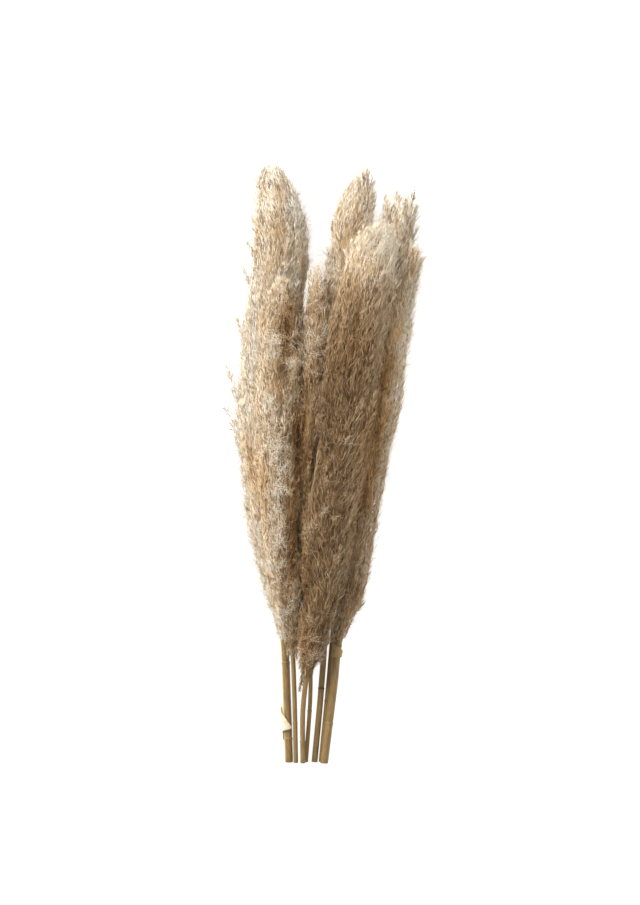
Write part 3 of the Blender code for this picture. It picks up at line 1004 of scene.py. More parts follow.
@dataclass(frozen=True)
class PaperFinish:
    """Thin dry leaf sheath, ribbed along its length."""

    name: str
    groove: Colour = (0.66, 0.54, 0.36)
    ridge: Colour = (0.93, 0.86, 0.70)
    stain: Colour = (0.62, 0.43, 0.30)
    rib_scale: Triple = (46.0, 2.5, 1.0)
    stain_scale: Triple = (3.0, 3.0, 1.0)
    stain_share: float = 0.6
    roughness: float = 0.45
    specular: float = 0.4
    bump: Pair = (0.5, 0.0004)

    def make(self) -> bpy.types.Material:
        """Builds the material."""
        graph = Graph(self.name)
        place = graph.map_named(FIBRE_MAP)
        ribs = graph.speckle(graph.scaled(place, self.rib_scale), 1.0, 2.0)
        stain = graph.speckle(graph.scaled(place, self.stain_scale), 1.0, 4.0)
        pale = graph.mix(ribs.over(0.3, 0.7), self.groove, self.ridge)
        colour = graph.mix(stain.over(0.5, 0.75) * self.stain_share, pale, self.stain)
        return graph.finish(
            {
                "Base Color": colour,
                "Roughness": self.roughness + ribs * 0.25,
                "Normal": graph.bump(ribs, *self.bump),
            },
            {"Specular IOR Level": self.specular},
        )


@dataclass
class Strands:
    """Fine closed spindles, one row of each array for each spindle."""

    roots: Array
    tips: Array
    outward: Array
    width: Array
    bow: Array
    tone: Array
    tip_tone: Array
    warmth: Array

    def __len__(self) -> int:
        """How many spindles there are."""
        return len(self.roots)

    @staticmethod
    def joined(groups: Sequence["Strands"]) -> "Strands":
        """Puts groups of spindles together.

        Args:
            groups: the groups.

        Returns:
            All their spindles, in the same order.
        """
        return Strands(
            *(
                np.concatenate([getattr(group, key) for group in groups])
                for key in Strands.__dataclass_fields__
            )
        )

    def mesh(self, name: str) -> bpy.types.Mesh:
        """Builds every spindle as one mesh.

        A spindle is a three-sided cone that is repeated with an Array modifier. Each copy
        is then set between its root and its tip, with its widest part bowed outward.

        Args:
            name: the mesh's name.

        Returns:
            The mesh, with the tone and the warmth of each spindle in its colour map.
        """
        seed = bmesh.new()
        seed.loops.layers.uv.new(COLOUR_MAP)
        bmesh.ops.create_cone(
            seed, cap_ends=True, segments=3, radius1=1.0, radius2=0.0, depth=1.0
        )
        single = made_mesh(seed, name + "_seed")
        holder = placed(name + "_seed", single)
        copies = holder.modifiers.new("Copies", "ARRAY")
        copies.count = len(self)
        copies.use_relative_offset = False
        bpy.context.view_layer.update()
        graph = bpy.context.evaluated_depsgraph_get()
        made = bpy.data.meshes.new_from_object(holder.evaluated_get(graph))
        made.name = name
        bpy.data.objects.remove(holder)
        bpy.data.meshes.remove(single)
        self._place(made)
        return made

    def _place(self, mesh: bpy.types.Mesh) -> None:
        """Sets each copy in its place, and writes its tone and warmth.

        Args:
            mesh: the copies, four points for each.
        """
        line = self.tips - self.roots
        side = unit(np.cross(unit(line), self.outward))
        lift = unit(np.cross(side, line))
        belly = self.roots + BELLY_PLACE * line + lift * self.bow[:, None]
        half = side * (self.width / 2)[:, None]
        corners = np.stack([self.roots, belly + half, belly - half, self.tips], axis=1)
        mesh.vertices.foreach_set("co", corners.astype(np.float32).ravel())
        middle = BELLY_PLACE * (self.tip_tone - self.tone) + self.tone
        tones = np.stack([self.tone, middle, middle, self.tip_tone], axis=1)
        warmths = self.warmth[:, None] + np.array([0.0, SIDE_WARMTH, -SIDE_WARMTH, 0.0])
        values = np.stack([tones, warmths], axis=2).reshape(-1, 2).clip(*MAP_LIMITS)
        at = np.empty(len(mesh.loops), np.int32)
        mesh.loops.foreach_get("vertex_index", at)
        mesh.uv_layers[COLOUR_MAP].data.foreach_set("uv", values[at].astype(np.float32).ravel())
        mesh.update()


@dataclass
class Branches:
    """The branch lines of one plume, one row of each array for each branch."""

    root: Array
    rise: Array
    turn: Array
    near: Array
    spread: Array
    twist: Array
    size: Array
    tone: Array
    warmth: Array

    def __len__(self) -> int:
        """How many branches there are."""
        return len(self.root)

    def points(self, course: Course, pick: Array, part: Array) -> Array:
        """Points on branch lines, as offsets from the plume's own line.

        Args:
            course: the plume's line.
            pick: which branch each point is on.
            part: how far along that branch it is, from 0 to 1.

        Returns:
            Rows of (offset across, place along, offset up).
        """
        along = self.root[pick] + self.rise[pick] * part
        climb = 1 - (1 - np.minimum(part, 1.0)) ** 2
        share = self.near[pick] + (self.spread[pick] - self.near[pick]) * climb
        distance = share * course.at(along)[1]
        turn = self.turn[pick] + self.twist[pick] * part**2
        return np.column_stack([np.cos(turn) * distance, along, np.sin(turn) * distance])


@dataclass(frozen=True)
class Habit:
    """How a plume's heart, branches, locks and brushes grow.

    Pairs are values at the start and at the end of what they run along, or the least and
    the most. A scale is a noise's waves to the metre, across the bundle and along it. A
    scatter is how much tone and warmth differ by chance.
    """

    heart_rings: int = 64
    heart_sides: int = 20
    heart_reach: float = 0.60
    heart_gap: float = 0.018
    heart_taper: float = 0.045
    heart_end: float = 0.25
    heart_ripple: Pair = (0.05, 0.04)
    # The heart's tone as a share of the head's, painted darker as the shade inside the head.
    heart_shaded_tone: float = 0.62
    heart_warmth: float = 0.12
    heart_fleck: float = 160.0
    branch_length: float = 0.066
    branch_most: float = 0.25
    branch_rise: Pair = (0.8, 1.15)
    branch_slim: Pair = (0.35, 0.032)
    branch_size: Pair = (0.85, 1.15)
    branch_turn: Pair = (-0.24, 0.24)
    branch_twist: Pair = (-0.25, 0.25)
    branch_scatter: Pair = (0.05, 0.06)
    first_root: Pair = (0.012, 0.020)
    first_tip: float = 0.035
    root_share: float = 0.15
    branch_spread: Pair = (0.80, 1.02)
    branchlets: int = 11
    branchlet_length: Pair = (0.024, 0.011)
    branchlet_lean: Pair = (20.0, 8.0)
    branchlet_lean_range: Pair = (0.65, 1.35)
    branchlet_size: Pair = (0.8, 1.2)
    branchlet_turn: float = 2.1
    look_ahead: float = 0.02
    branchlet_scatter: Pair = (0.06, 0.03)
    hairs: int = 9
    hair_length: Pair = (0.0125, 0.0070)
    hair_size: Pair = (0.7, 1.25)
    hair_least: float = 0.0025
    haired: float = 0.92
    hair_root_scatter: float = 0.0004
    hair_lean_range: Pair = (0.4, 1.5)
    hair_lean: Pair = (17.0, 8.0)
    hair_turn: float = 2.3
    hair_width: Pair = (0.00028, 0.00048)
    hair_scatter: Pair = (0.07, 0.03)
    hair_bow: float = 0.05
    vane_width: Pair = (0.0007, 0.0012)
    vane_length: float = 0.95
    vane_shade: float = 0.06
    first_part: float = 0.26
    last_part: float = 0.94
    past_tip: float = 0.003
    lock_hairs: int = 11
    lock_length: Pair = (0.014, 0.028)
    lock_root_share: Pair = (0.66, 0.86)
    lock_tip_share: Pair = (0.88, 1.00)
    lock_short: Pair = (0.72, 1.0)
    lock_slim: Pair = (0.45, 0.045)
    lock_slim_width: float = 0.4
    lock_width: float = 0.0030
    lock_spread: float = 0.5
    lock_close: float = 0.5
    lock_drift: float = 0.0045
    lock_scatter: Pair = (0.045, 0.04)
    lock_hair_start: Pair = (-0.15, 0.5)
    lock_hair_share: Pair = (0.45, 0.70)
    lock_hair_end: float = 1.1
    lock_hair_width: Pair = (0.00036, 0.00062)
    lock_hair_scatter: Pair = (0.06, 0.02)
    lock_loose: float = 0.2
    lock_wander: float = 0.0014
    lock_bow: float = 0.035
    cover_length: Pair = (0.006, 0.015)
    cover_root_share: Pair = (0.80, 0.98)
    cover_rise: Pair = (-0.02, 0.09)
    cover_lean: float = 0.33
    cover_flow: float = 0.30
    cover_width: Pair = (0.00030, 0.00050)
    cover_scatter: Pair = (0.075, 0.035)
    cover_bow: float = 0.06
    spread_lean: float = 0.42
    tassel_hairs: int = 22
    tassel_share: Pair = (0.82, 0.96)
    tassel_length: Pair = (0.010, 0.022)
    tassel_lean: Pair = (4.0, 24.0)
    tassel_width: Pair = (0.0016, 0.0030)
    tassel_aside: float = 1.6
    tassel_scatter: float = 0.9
    tassel_give: float = 0.0060
    mingling_lift: Pair = (25.0, 65.0)
    mingling_give: float = 0.012
    mingling_length: Pair = (0.006, 0.016)
    mingling_reach: Pair = (0.003, 0.010)
    mingling_rise: Pair = (-0.002, 0.001)
    root_shade: float = 0.08
    # How much darker deeper hair is painted, and outer hair lighter, as shade and light.
    depth_shade: float = 0.32
    middle_depth: float = 0.89
    bump: float = 0.11
    bump_shares: Pair = (1.3, 0.6)
    bump_scale: Pair = (1.6, 34.0)
    fine_bump_scale: Pair = (4.0, 90.0)
    tip_lobes: float = 0.30
    lobe_shares: Pair = (1.8, 0.9)
    lobe_scale: Pair = (2.6, 9.0)
    lobe_length: float = 0.050
    skirt_hairs: int = 60
    skirt_height: float = 0.022
    skirt_end: Pair = (-0.004, 0.003)
    skirt_clear: Pair = (0.0004, 0.0016)
    skirt_width: float = 0.0026
    skirt_give: float = 0.001
    brush_start: Pair = (0.0, 0.88)
    brush_share: Pair = (0.18, 0.42)
    brush_spread: float = 0.42
    brush_end_scatter: float = 0.02
    brush_ends: Pair = (0.75, 1.15)
    brush_taper: float = 0.7
    brush_flare: Pair = (0.0004, 0.02)
    brush_scatter: Pair = (0.08, 0.04)
    brush_hair_scatter: Pair = (0.06, 0.03)
    brush_light: float = 0.03
    barb_length: Pair = (0.006, 0.015)
    barbed: float = 0.45
    barb_stand: Pair = (0.25, 0.75)
    wisp_hairs: int = 110
    wisp_width: Pair = (0.00026, 0.00042)
    wisp_foot: float = 0.7
    wisp_give: float = 0.003
    above: float = 0.5
    curl_tone: Pair = (0.24, 0.44)
    curl_share: Pair = (1.0, 1.09)
    curl_even: float = 0.3
    froth_tone: Pair = (0.40, 0.62)
    froth_hairs: int = 13
    froth_spread: float = 0.0021
    froth_margin: float = 0.016
    froth_height: float = 1.04
    froth_aside: float = 0.98
    fringe_share: Pair = (0.92, 1.02)
    fringe_turn: float = 0.45
    fringe_tone: Pair = (-0.46, -0.14)
    stray_beside: float = 0.7
    stray_turn: float = 0.5
    stray_share: Pair = (0.90, 1.02)
    stray_tone: Pair = (-0.30, 0.04)
    link_overlap: float = 0.12
    link_bow: float = 0.03
    link_fade: float = 0.5
    least_bow: float = 0.00012
    bow_scatter: float = 0.22
    bow_range: Pair = (0.4, 1.6)
    twig_bend: float = 7.0
    twig_links: int = 5
    mottle_scale: Pair = (62.0, 40.0)
    streak_shares: Pair = (0.10, 0.09)
    streak_scale: Pair = (75.0, 20.0)
    fine_streak_scale: Pair = (260.0, 60.0)
    flow: float = 1.3
    fine_flow: float = 0.5
    flow_scale: Pair = (30.0, 14.0)
    fine_flow_scale: Pair = (90.0, 40.0)
    loose_scale: Pair = (20.0, 24.0)
    loose_shares: Pair = (0.9, 3.2)
    loose_range: Pair = (0.1, 3.0)
    blunt: float = 0.62
    thin_end: float = 0.040
    kept: Pair = (0.25, 0.75)
    give: float = 0.0032


@dataclass(frozen=True)
class Curl:
    """How hairs that bend as they go grow, each pair the least and the most.

    The lean off the head's line and the bend at each link are in degrees. The turn is how
    far either side of outward they lean, scattered about it or evenly spread.
    """

    lean: Pair
    turn: float
    bend: Pair
    step: Pair
    links: int
    width: Pair
    scattered: bool = False


STRAY_CURL = Curl((10, 62), 0.9, (4, 26), (0.0020, 0.0042), 3, (0.00028, 0.00044))
FROTH_CURL = Curl((5, 115), 1.7, (6, 34), (0.0015, 0.0030), 4, (0.00032, 0.00054))
FRINGE_CURL = Curl((12, 78), 0.5, (4, 30), (0.0020, 0.0042), 4, (0.00034, 0.00054), True)


@dataclass
class Plume:
    """One feathery head, which replaces its solid."""

    cane: Cane
    layout: Layout
    habit: Habit

    def __post_init__(self) -> None:
        """Looks up the plume's line and starts its own chance."""
        self.course = self.layout.courses[self.cane.number]
        self.start = self.cane.plume_start * MM + LAYOUT_SHIFT[1]
        self.length = self.course.tip - self.start
        self.chance = np.random.default_rng(FIRST_SEED + self.cane.number)

    def build(self, finish: bpy.types.Material) -> bpy.types.Object:
        """Builds the whole head.

        Args:
            finish: the material of its hair.

        Returns:
            The finished piece.
        """
        cane = self.cane
        groups = [self.locks(), self.cover(), self.feather(self.main_branches())]
        groups += [self.tassels(), self.wisps(), self.skirt()]
        groups += [self.stray_hairs(), self.curled_hairs()]
        if cane.fringe:
            groups.append(self.fringe())
        if cane.mingling:
            groups.append(self.mingling())
        if cane.twigs:
            groups.append(self.twigs())
        strands = Strands.joined(groups)
        body = bmesh.new()
        for part in (strands.mesh(f"plume_{cane.number}_hair"), self.heart()):
            body.from_mesh(part)
            bpy.data.meshes.remove(part)
        made = made_mesh(body, f"plume_{cane.number}_head")
        made.polygons.foreach_set("use_smooth", np.ones(len(made.polygons), bool))
        made.materials.append(finish)
        log.info("plume %d: %d spindles", cane.number, len(strands))
        return placed(made.name, made)

    def heart(self) -> bpy.types.Mesh:
        """The dense padded middle of the head, from a ring drawn out along its line."""
        # The heart is painted darker than the hair, as the shade inside the head.
        habit, look = self.habit, self.cane.complexion
        shape = bmesh.new()
        colour = shape.loops.layers.uv.new(COLOUR_MAP)
        stops = np.linspace(self.start, self.course.tip - habit.heart_gap, habit.heart_rings)
        draw_tube(shape, habit.heart_sides, stops, self._set_heart_ring)
        for face in shape.faces:
            for loop in face.loops:
                spot = loop.vert.co * habit.heart_fleck
                fleck = noise.noise(Vector((spot.x, spot.y * 0.3, spot.z)))
                part = (loop.vert.co.y - self.start) / self.length
                tone = float(np.interp(part, *zip(*look.tones)))
                golden = 0.05 * noise.noise(spot * 0.5)
                loop[colour].uv = (
                    habit.heart_shaded_tone * tone + 0.10 * fleck,
                    look.warmth + habit.heart_warmth + golden,
                )
        return made_mesh(shape, f"plume_{self.cane.number}_heart")

    def _set_heart_ring(self, rim: Sequence[Any], along: float) -> None:
        """Sets one ring of the heart, pressed into the plume's own room.

        Args:
            rim: the ring's points.
            along: where it is.
        """
        habit = self.habit
        turns = np.linspace(0, math.tau, len(rim), endpoint=False)
        reach = self.course.at(np.array([along]))[1][0]
        wave, swell = habit.heart_ripple
        ripple = 1 + wave * np.sin(5 * turns + along * 240) + swell * math.sin(along * 310)
        left = self.course.tip - habit.heart_gap - along
        near = min(1.0, habit.heart_end + left / habit.heart_taper)
        distance = habit.heart_reach * reach * ripple * near
        points = around(turns) * distance[:, None]
        points[:, 1] = along
        for vert, place in zip(rim, self.layout.settle(self.cane.number, points)):
            vert.co = place

    def main_branches(self) -> Branches:
        """The branches of the spiral."""
        cane, habit, chance = self.cane, self.habit, self.chance
        count = cane.branches
        longest = min(habit.branch_length, habit.branch_most * self.length)
        part = (np.arange(count) + 0.5) / count
        tip = self.start + habit.first_tip + (self.length - habit.first_tip) * part
        rise = longest * chance.uniform(*habit.branch_rise, count)
        first_root, last_root = habit.first_root
        root = np.maximum(tip - rise, self.start + first_root + last_root * part)
        reach = self.course.at((root + tip) / 2)[1]
        size = slimmer(reach, *habit.branch_slim) * chance.uniform(*habit.branch_size, count)
        turn = np.arange(count) * GOLDEN_ANGLE + chance.uniform(*habit.branch_turn, count)
        spread = chance.uniform(*habit.branch_spread, count)
        twist = chance.uniform(*habit.branch_twist, count)
        tone, warmth = self._scattered(count, habit.branch_scatter)
        return Branches(
            root=root,
            rise=tip - root,
            turn=turn,
            near=np.full(count, habit.root_share),
            spread=spread,
            twist=twist,
            size=size,
            tone=tone,
            warmth=warmth,
        )

    def _scattered(self, count: int, scatter: Pair) -> tuple[Array, Array]:
        """Chance differences of tone and warmth.

        Args:
            count: how many of each.
            scatter: how much tones and warmths differ.

        Returns:
            The tones and the warmths.
        """
        tone = self.chance.normal(0.0, scatter[0], count)
        return tone, self.chance.normal(0.0, scatter[1], count)

    def _waves(
        self,
        points: Array,
        scale: Pair,
        seed: float,
        lengthwise: bool = False,
    ) -> Array:
        """Smooth noise, different for each plume.

        Args:
            points: rows of (across, along, up).
            scale: its waves to the metre, across and along.
            seed: how far it moves from one plume to the next.
            lengthwise: whether it moves along the plume and not across.

        Returns:
            The noise at each point, from about -1 to 1.
        """
        rows = points * (scale[0], scale[1], scale[0])
        rows[:, int(lengthwise)] += seed * self.cane.number
        return np.array([noise.noise(Vector(row)) for row in rows])

    def _brush(self, foot: Array, tip: Array, width: Array, per: int, give: float) -> Strands:
        """Pointed brushes of fine hair.

        Args:
            foot: where each starts, as an offset from the plume's line.
            tip: where each ends.
            width: how wide each is at its foot.
            per: how many hairs each has.
            give: how far hair may reach past the plume's share of room.

        Returns:
            All hairs.
        """
        habit, chance = self.habit, self.chance
        pick = np.repeat(np.arange(len(foot)), per)
        count = len(pick)
        begin = chance.uniform(*habit.brush_start, count)
        line = tip[pick] - foot[pick]
        long = np.linalg.norm(line, axis=1)
        most = chance.uniform(*habit.barb_length, count) / long
        end = begin + np.minimum(chance.uniform(*habit.brush_share, count), most)
        end = np.minimum(end, 1.0) + chance.normal(0.0, habit.brush_end_scatter, count)
        along = unit(line)
        offset = chance.normal(0.0, habit.brush_spread, (count, 3)) * width[pick, None]
        offset -= along * (offset * along).sum(axis=1, keepdims=True)
        near = habit.brush_ends[0] * ((1 - begin) ** habit.brush_taper)[:, None]
        far = habit.brush_ends[1] * (np.abs(1 - end) ** habit.brush_taper)[:, None]
        root = foot[pick] + line * begin[:, None] + offset * near
        last = foot[pick] + line * end[:, None] + offset * far
        least, more = habit.brush_flare
        flare = chance.normal(0.0, 1.0, (count, 3)) * (least + more * long)[:, None]
        barbed = chance.uniform(0, 1, count) < habit.barbed
        stand = np.where(barbed, chance.uniform(*habit.barb_stand, count), 0.0)
        side = unit(np.cross(along, chance.normal(0.0, 1.0, (count, 3))))
        flare += side * (stand * np.linalg.norm(last - root, axis=1))[:, None]
        tone, warmth = self._scattered(len(foot), habit.brush_scatter)
        hair_width = chance.uniform(*habit.wisp_width, count)
        hair_tone, hair_warmth = self._scattered(count, habit.brush_hair_scatter)
        return self._strands(
            root,
            last + flare,
            hair_width,
            habit.hair_bow,
            tone[pick] + habit.brush_light + hair_tone,
            warmth[pick] + hair_warmth,
            give,
        )

    def tassels(self) -> Strands:
        """Short pointed brushes that stand a little off the head all over it."""
        habit, chance = self.habit, self.chance
        foot, radial = self._surface(self.cane.tassels, habit.tassel_share)
        count = len(foot)
        slim = slimmer(self.course.at(foot[:, 1])[1])
        lean = np.radians(chance.uniform(*habit.tassel_lean, count))
        away = self._spreading(foot) * habit.tassel_aside
        away = away + chance.normal(0.0, habit.tassel_scatter, count)
        heading = self._leaning(ALONG, radial, away, lean)
        length = chance.uniform(*habit.tassel_length, count) * slim
        width = chance.uniform(*habit.tassel_width, count) * slim
        tip = foot + heading * length[:, None]
        return self._brush(foot, tip, width, habit.tassel_hairs, habit.tassel_give)

    def mingling(self) -> Strands:
        """Brushes that lie from this head over its seams with its neighbours."""
        habit, chance = self.habit, self.chance
        upward = np.array([0.0, 1.0])
        feet, tips = [], []
        for other, first, last, count in self.cane.mingling:
            part = (np.arange(count) + chance.uniform(0, 1, count)) / count
            along = blend(first, last, part) * MM + LAYOUT_SHIFT[1]
            centre, reach = self.course.at(along)
            toward = unit(self.layout.courses[other].at(along)[0] - centre)
            lift = np.radians(chance.uniform(*habit.mingling_lift, count))[:, None]
            heading = unit(toward * np.cos(lift) + upward * np.sin(lift))
            room = self.layout.room(self.cane.number, along, heading)
            foot = heading * np.minimum(reach * 0.9, room)[:, None]
            tip = foot + toward * chance.uniform(*habit.mingling_reach, count)[:, None]
            tip = tip + upward * chance.uniform(*habit.mingling_rise, count)[:, None]
            ahead = along + chance.uniform(*habit.mingling_length, count)
            feet.append(np.column_stack([foot[:, 0], along, foot[:, 1]]))
            tips.append(np.column_stack([tip[:, 0], ahead, tip[:, 1]]))
        foot, tip = np.concatenate(feet), np.concatenate(tips)
        width = chance.uniform(*habit.tassel_width, len(foot))
        return self._brush(foot, tip, width, habit.tassel_hairs, habit.mingling_give)

    def skirt(self) -> Strands:
        """Thin brushes that hang a little way down over the top of the stem."""
        habit, chance, count = self.habit, self.chance, self.cane.skirt
        turn = math.tau * (np.arange(count) + chance.uniform(0.2, 0.8, count)) / count
        ring = around(turn)
        high = np.full(count, self.start + habit.skirt_height)
        low = self.start + chance.uniform(*habit.skirt_end, count)
        stem = self.cane.stem_radius * MM
        foot = ring * (self.course.at(high)[1] * 0.75)[:, None] + np.outer(high, ALONG)
        tip = ring * (stem + chance.uniform(*habit.skirt_clear, count))[:, None]
        tip = tip + np.outer(low, ALONG)
        width = np.full(count, habit.skirt_width)
        return self._brush(foot, tip, width, habit.skirt_hairs, habit.skirt_give)

    def _spreading(self, points: Array) -> Array:
        """How far hair turns away from the head's ridge, toward its sides.

        Args:
            points: where it is, as offsets from the plume's line.

        Returns:
            The turn at each point, from -0.8 to 0.8.
        """
        turn = np.arctan2(points[:, 2], points[:, 0])
        return -1.6 * np.cos(turn) * np.sin(turn)

    def _bumps(self, points: Array) -> Array:
        """The share of its reach that the head has, in soft bumps and tip lobes.

        Args:
            points: where, as offsets from the plume's line.

        Returns:
            The share at each point, about 1.
        """
        habit, seed = self.habit, BUMP_SEED
        turn = np.arctan2(points[:, 2], points[:, 0])
        rows = np.column_stack([np.cos(turn), points[:, 1], np.sin(turn)])
        soft = self._waves(rows, habit.bump_scale, seed)
        fine = self._waves(rows, habit.fine_bump_scale, seed, True)
        lobes = self._waves(rows, habit.lobe_scale, seed, True)
        near = (1 - (self.course.tip - points[:, 1]) / habit.lobe_length).clip(0, 1)
        soft_share, fine_share = habit.bump_shares
        made = 1 + habit.bump * (soft * soft_share + fine * fine_share)
        lobe_share, lobe_cut = habit.lobe_shares
        return made + habit.tip_lobes * near * (lobes * lobe_share - lobe_cut)

    def wisps(self) -> Strands:
        """Pointed brushes of fine hair that stand out of the head and make its tips."""
        rows = np.array(self.cane.wisps, float) * MM
        tip_along = rows[:, 0] + LAYOUT_SHIFT[1]
        foot_along = tip_along - rows[:, 3]
        place = rows[:, 1:3] + (LAYOUT_SHIFT[0], 0.0)
        across, up = (place - self.course.at(tip_along)[0]).T
        tip = np.column_stack([across, tip_along, up])
        foot_centre, reach = self.course.at(foot_along)
        toward = place - foot_centre
        set_in = reach * self.habit.wisp_foot
        toward = unit(toward) * np.minimum(np.linalg.norm(toward, axis=1), set_in)[:, None]
        foot = np.column_stack([toward[:, 0], foot_along, toward[:, 1]])
        habit = self.habit
        return self._brush(foot, tip, rows[:, 4], habit.wisp_hairs, habit.wisp_give)

    def _tone(self, points: Array) -> tuple[Array, Array]:
        """The colour of the head.

        Args:
            points: where, as offsets from the plume's line.

        Returns:
            Its tone and its warmth at each point.
        """
        habit, look = self.habit, self.cane.complexion
        part = ((points[:, 1] - self.start) / self.length).clip(0, 1)
        centre, reach = self.course.at(points[:, 1])
        offset = points[:, [0, 2]] / reach[:, None]
        depth = np.linalg.norm(offset, axis=1).clip(0, 1.2)
        # The tones along the plume are partly painted light and shade.
        tone = np.interp(part, *zip(*look.tones))
        # Deeper hair is painted darker and outer hair lighter, as shade and light.
        tone = tone + habit.depth_shade * (depth - habit.middle_depth)
        across = points[:, 0] + centre[:, 0] - LAYOUT_SHIFT[0]
        along = points[:, 1] - LAYOUT_SHIFT[1]
        above = (0.8 + offset[:, 1]).clip(0, 1)
        tufts = self._waves(points, habit.mottle_scale, MOTTLE_SEED)
        tone += look.mottle * 2.0 * tufts
        warm = look.warmth - look.mottle * 0.8 * tufts
        # Patches add tone and warmth; many of them are painted light and shade.
        for patch in look.patches:
            ahead = (along / MM - patch.along) / patch.length
            aside = (across / MM - patch.across - patch.lean * ahead * patch.length) / patch.width
            near = above * np.exp(-(ahead**2) - aside**2)
            tone += patch.tone * near
            warm += patch.warmth * near
        return tone, warm

    def feather(self, branches: Branches) -> Strands:
        """Covers branches with branchlets and their hairs.

        Args:
            branches: the branch lines.

        Returns:
            A broad soft vane for each branchlet, and the hairs along it.
        """
        habit, chance, course = self.habit, self.chance, self.course
        per = habit.branchlets
        pick = np.repeat(np.arange(len(branches)), per)
        count = len(pick)
        slots = np.tile(np.arange(per), len(branches))
        part = (slots + chance.uniform(0, 1, count)) / per
        part = blend(habit.first_part, habit.last_part, part)
        foot = branches.points(course, pick, part)
        ahead = branches.points(course, pick, part + habit.look_ahead)
        radial = around(branches.turn[pick] + branches.twist[pick] * part**2)
        away = chance.uniform(-habit.branchlet_turn, habit.branchlet_turn, count)
        lean = np.radians(blend(*habit.branchlet_lean, part))
        lean = lean * chance.uniform(*habit.branchlet_lean_range, count)
        heading = self._leaning(unit(ahead - foot), radial, away, lean)
        length = branches.size[pick] * blend(*habit.branchlet_length, part)
        length = length * chance.uniform(*habit.branchlet_size, count)
        left = (1 - part) * np.abs(branches.rise[pick]) + habit.past_tip
        length = np.minimum(length, left / np.cos(lean))
        tone, warmth = self._scattered(count, habit.branchlet_scatter)
        tone = branches.tone[pick] + tone
        warmth = branches.warmth[pick] + warmth
        vanes = self._strands(
            foot,
            foot + heading * (length * habit.vane_length)[:, None],
            chance.uniform(*habit.vane_width, count) * branches.size[pick],
            habit.hair_bow,
            tone - habit.vane_shade,
            warmth,
        )
        hairs = self._hairs(foot, heading, length, radial, tone, warmth, left)
        return Strands.joined([vanes, hairs])

    def _hairs(
        self,
        foot: Array,
        heading: Array,
        length: Array,
        radial: Array,
        tone: Array,
        warmth: Array,
        left: Array,
    ) -> Strands:
        """The hairs along branchlets.

        Args:
            foot: where each branchlet starts.
            heading: its direction.
            length: its length.
            radial: the direction out of the head there.
            tone: how much lighter than the head it is.
            warmth: how much more golden it is.
            left: how much of its branch is ahead of it.

        Returns:
            All hairs.
        """
        habit, chance = self.habit, self.chance
        per = habit.hairs
        pick = np.repeat(np.arange(len(foot)), per)
        count = len(pick)
        part = (np.tile(np.arange(per), len(foot)) + chance.uniform(0, 1, count)) / per
        root = foot[pick] + heading[pick] * (length[pick] * part * habit.haired)[:, None]
        root = root + chance.normal(0.0, habit.hair_root_scatter, (count, 3))
        away = chance.uniform(-habit.hair_turn, habit.hair_turn, count)
        lean = np.radians(blend(*habit.hair_lean, part))
        lean = lean * chance.uniform(*habit.hair_lean_range, count)
        direction = self._leaning(heading[pick], radial[pick], away, lean)
        reach = blend(*habit.hair_length, part) * chance.uniform(*habit.hair_size, count)
        reach = np.minimum(reach, left[pick] * 1.1 - length[pick] * part + 0.004)
        reach = np.maximum(reach, habit.hair_least)
        width = chance.uniform(*habit.hair_width, count)
        own_tone, own_warmth = self._scattered(count, habit.hair_scatter)
        return self._strands(
            root,
            root + direction * reach[:, None],
            width,
            habit.hair_bow,
            tone[pick] + own_tone,
            warmth[pick] + own_warmth,
        )

    @staticmethod
    def _leaning(along: Array, outward: Array, turn: Array, lean: Array) -> Array:
        """Directions that lean away from a line.

        Args:
            along: the line's unit directions.
            outward: directions that a turn of zero leans to.
            turn: the turn about the line.
            lean: the angle off the line.

        Returns:
            Unit directions.
        """
        side = unit(np.cross(along, outward))
        out = np.cross(side, along)
        off = out * np.cos(turn)[:, None] + side * np.sin(turn)[:, None]
        return unit(along * np.cos(lean)[:, None] + off * np.sin(lean)[:, None])

    def _strands(
        self,
        roots: Array,
        tips: Array,
        width: Array,
        bow: float,
        tone: Array,
        warmth: Array,
        give: float | None = None,
    ) -> Strands:
        """Spindles set in the frame.

        Args:
            roots: where they start, as offsets from the plume's line.
            tips: where they end.
            width: how wide each is.
            bow: how far each bows outward, as a share of its length.
            tone: how much lighter than the head each is.
            warmth: how much more golden each is.
            give: how far hair may reach past the plume's share of room.

        Returns:
            The spindles.
        """
        habit, chance, number = self.habit, self.chance, self.cane.number
        contrast = self.cane.complexion.contrast
        count = len(roots)
        own_tone, own_warmth = self._tone(roots)
        end_tone, _ = self._tone(tips)
        most = np.abs(chance.normal(0.0, give or habit.give, count)) * self._loose(roots)
        root = self.layout.settle(number, roots, most)
        tip = self.layout.settle(number, tips, most)
        centre = self.course.at(root[:, 1])[0]
        away = root - np.column_stack([centre[:, 0], root[:, 1], centre[:, 1]])
        outward = unit(unit(away) + chance.normal(0.0, habit.bow_scatter, (count, 3)))
        size = np.linalg.norm(tip - root, axis=1)
        bowed = chance.uniform(*habit.bow_range, count)
        return Strands(
            roots=root,
            tips=tip,
            outward=outward,
            width=width,
            bow=np.maximum(size * bow * bowed, habit.least_bow),
            tone=own_tone + contrast * (tone - habit.root_shade),
            tip_tone=end_tone + contrast * (tone + habit.root_shade),
            warmth=own_warmth + warmth,
        )

    def _loose(self, points: Array) -> Array:
        """How freely hair mingles with the neighbours'.

        Args:
            points: where it starts, as offsets from the plume's line.

        Returns:
            The share of the usual give, about 1 on average.
        """
        habit = self.habit
        usual, swing = habit.loose_shares
        swell = self._waves(points, habit.loose_scale, LOOSE_SEED)
        return (usual + swing * swell).clip(*habit.loose_range)

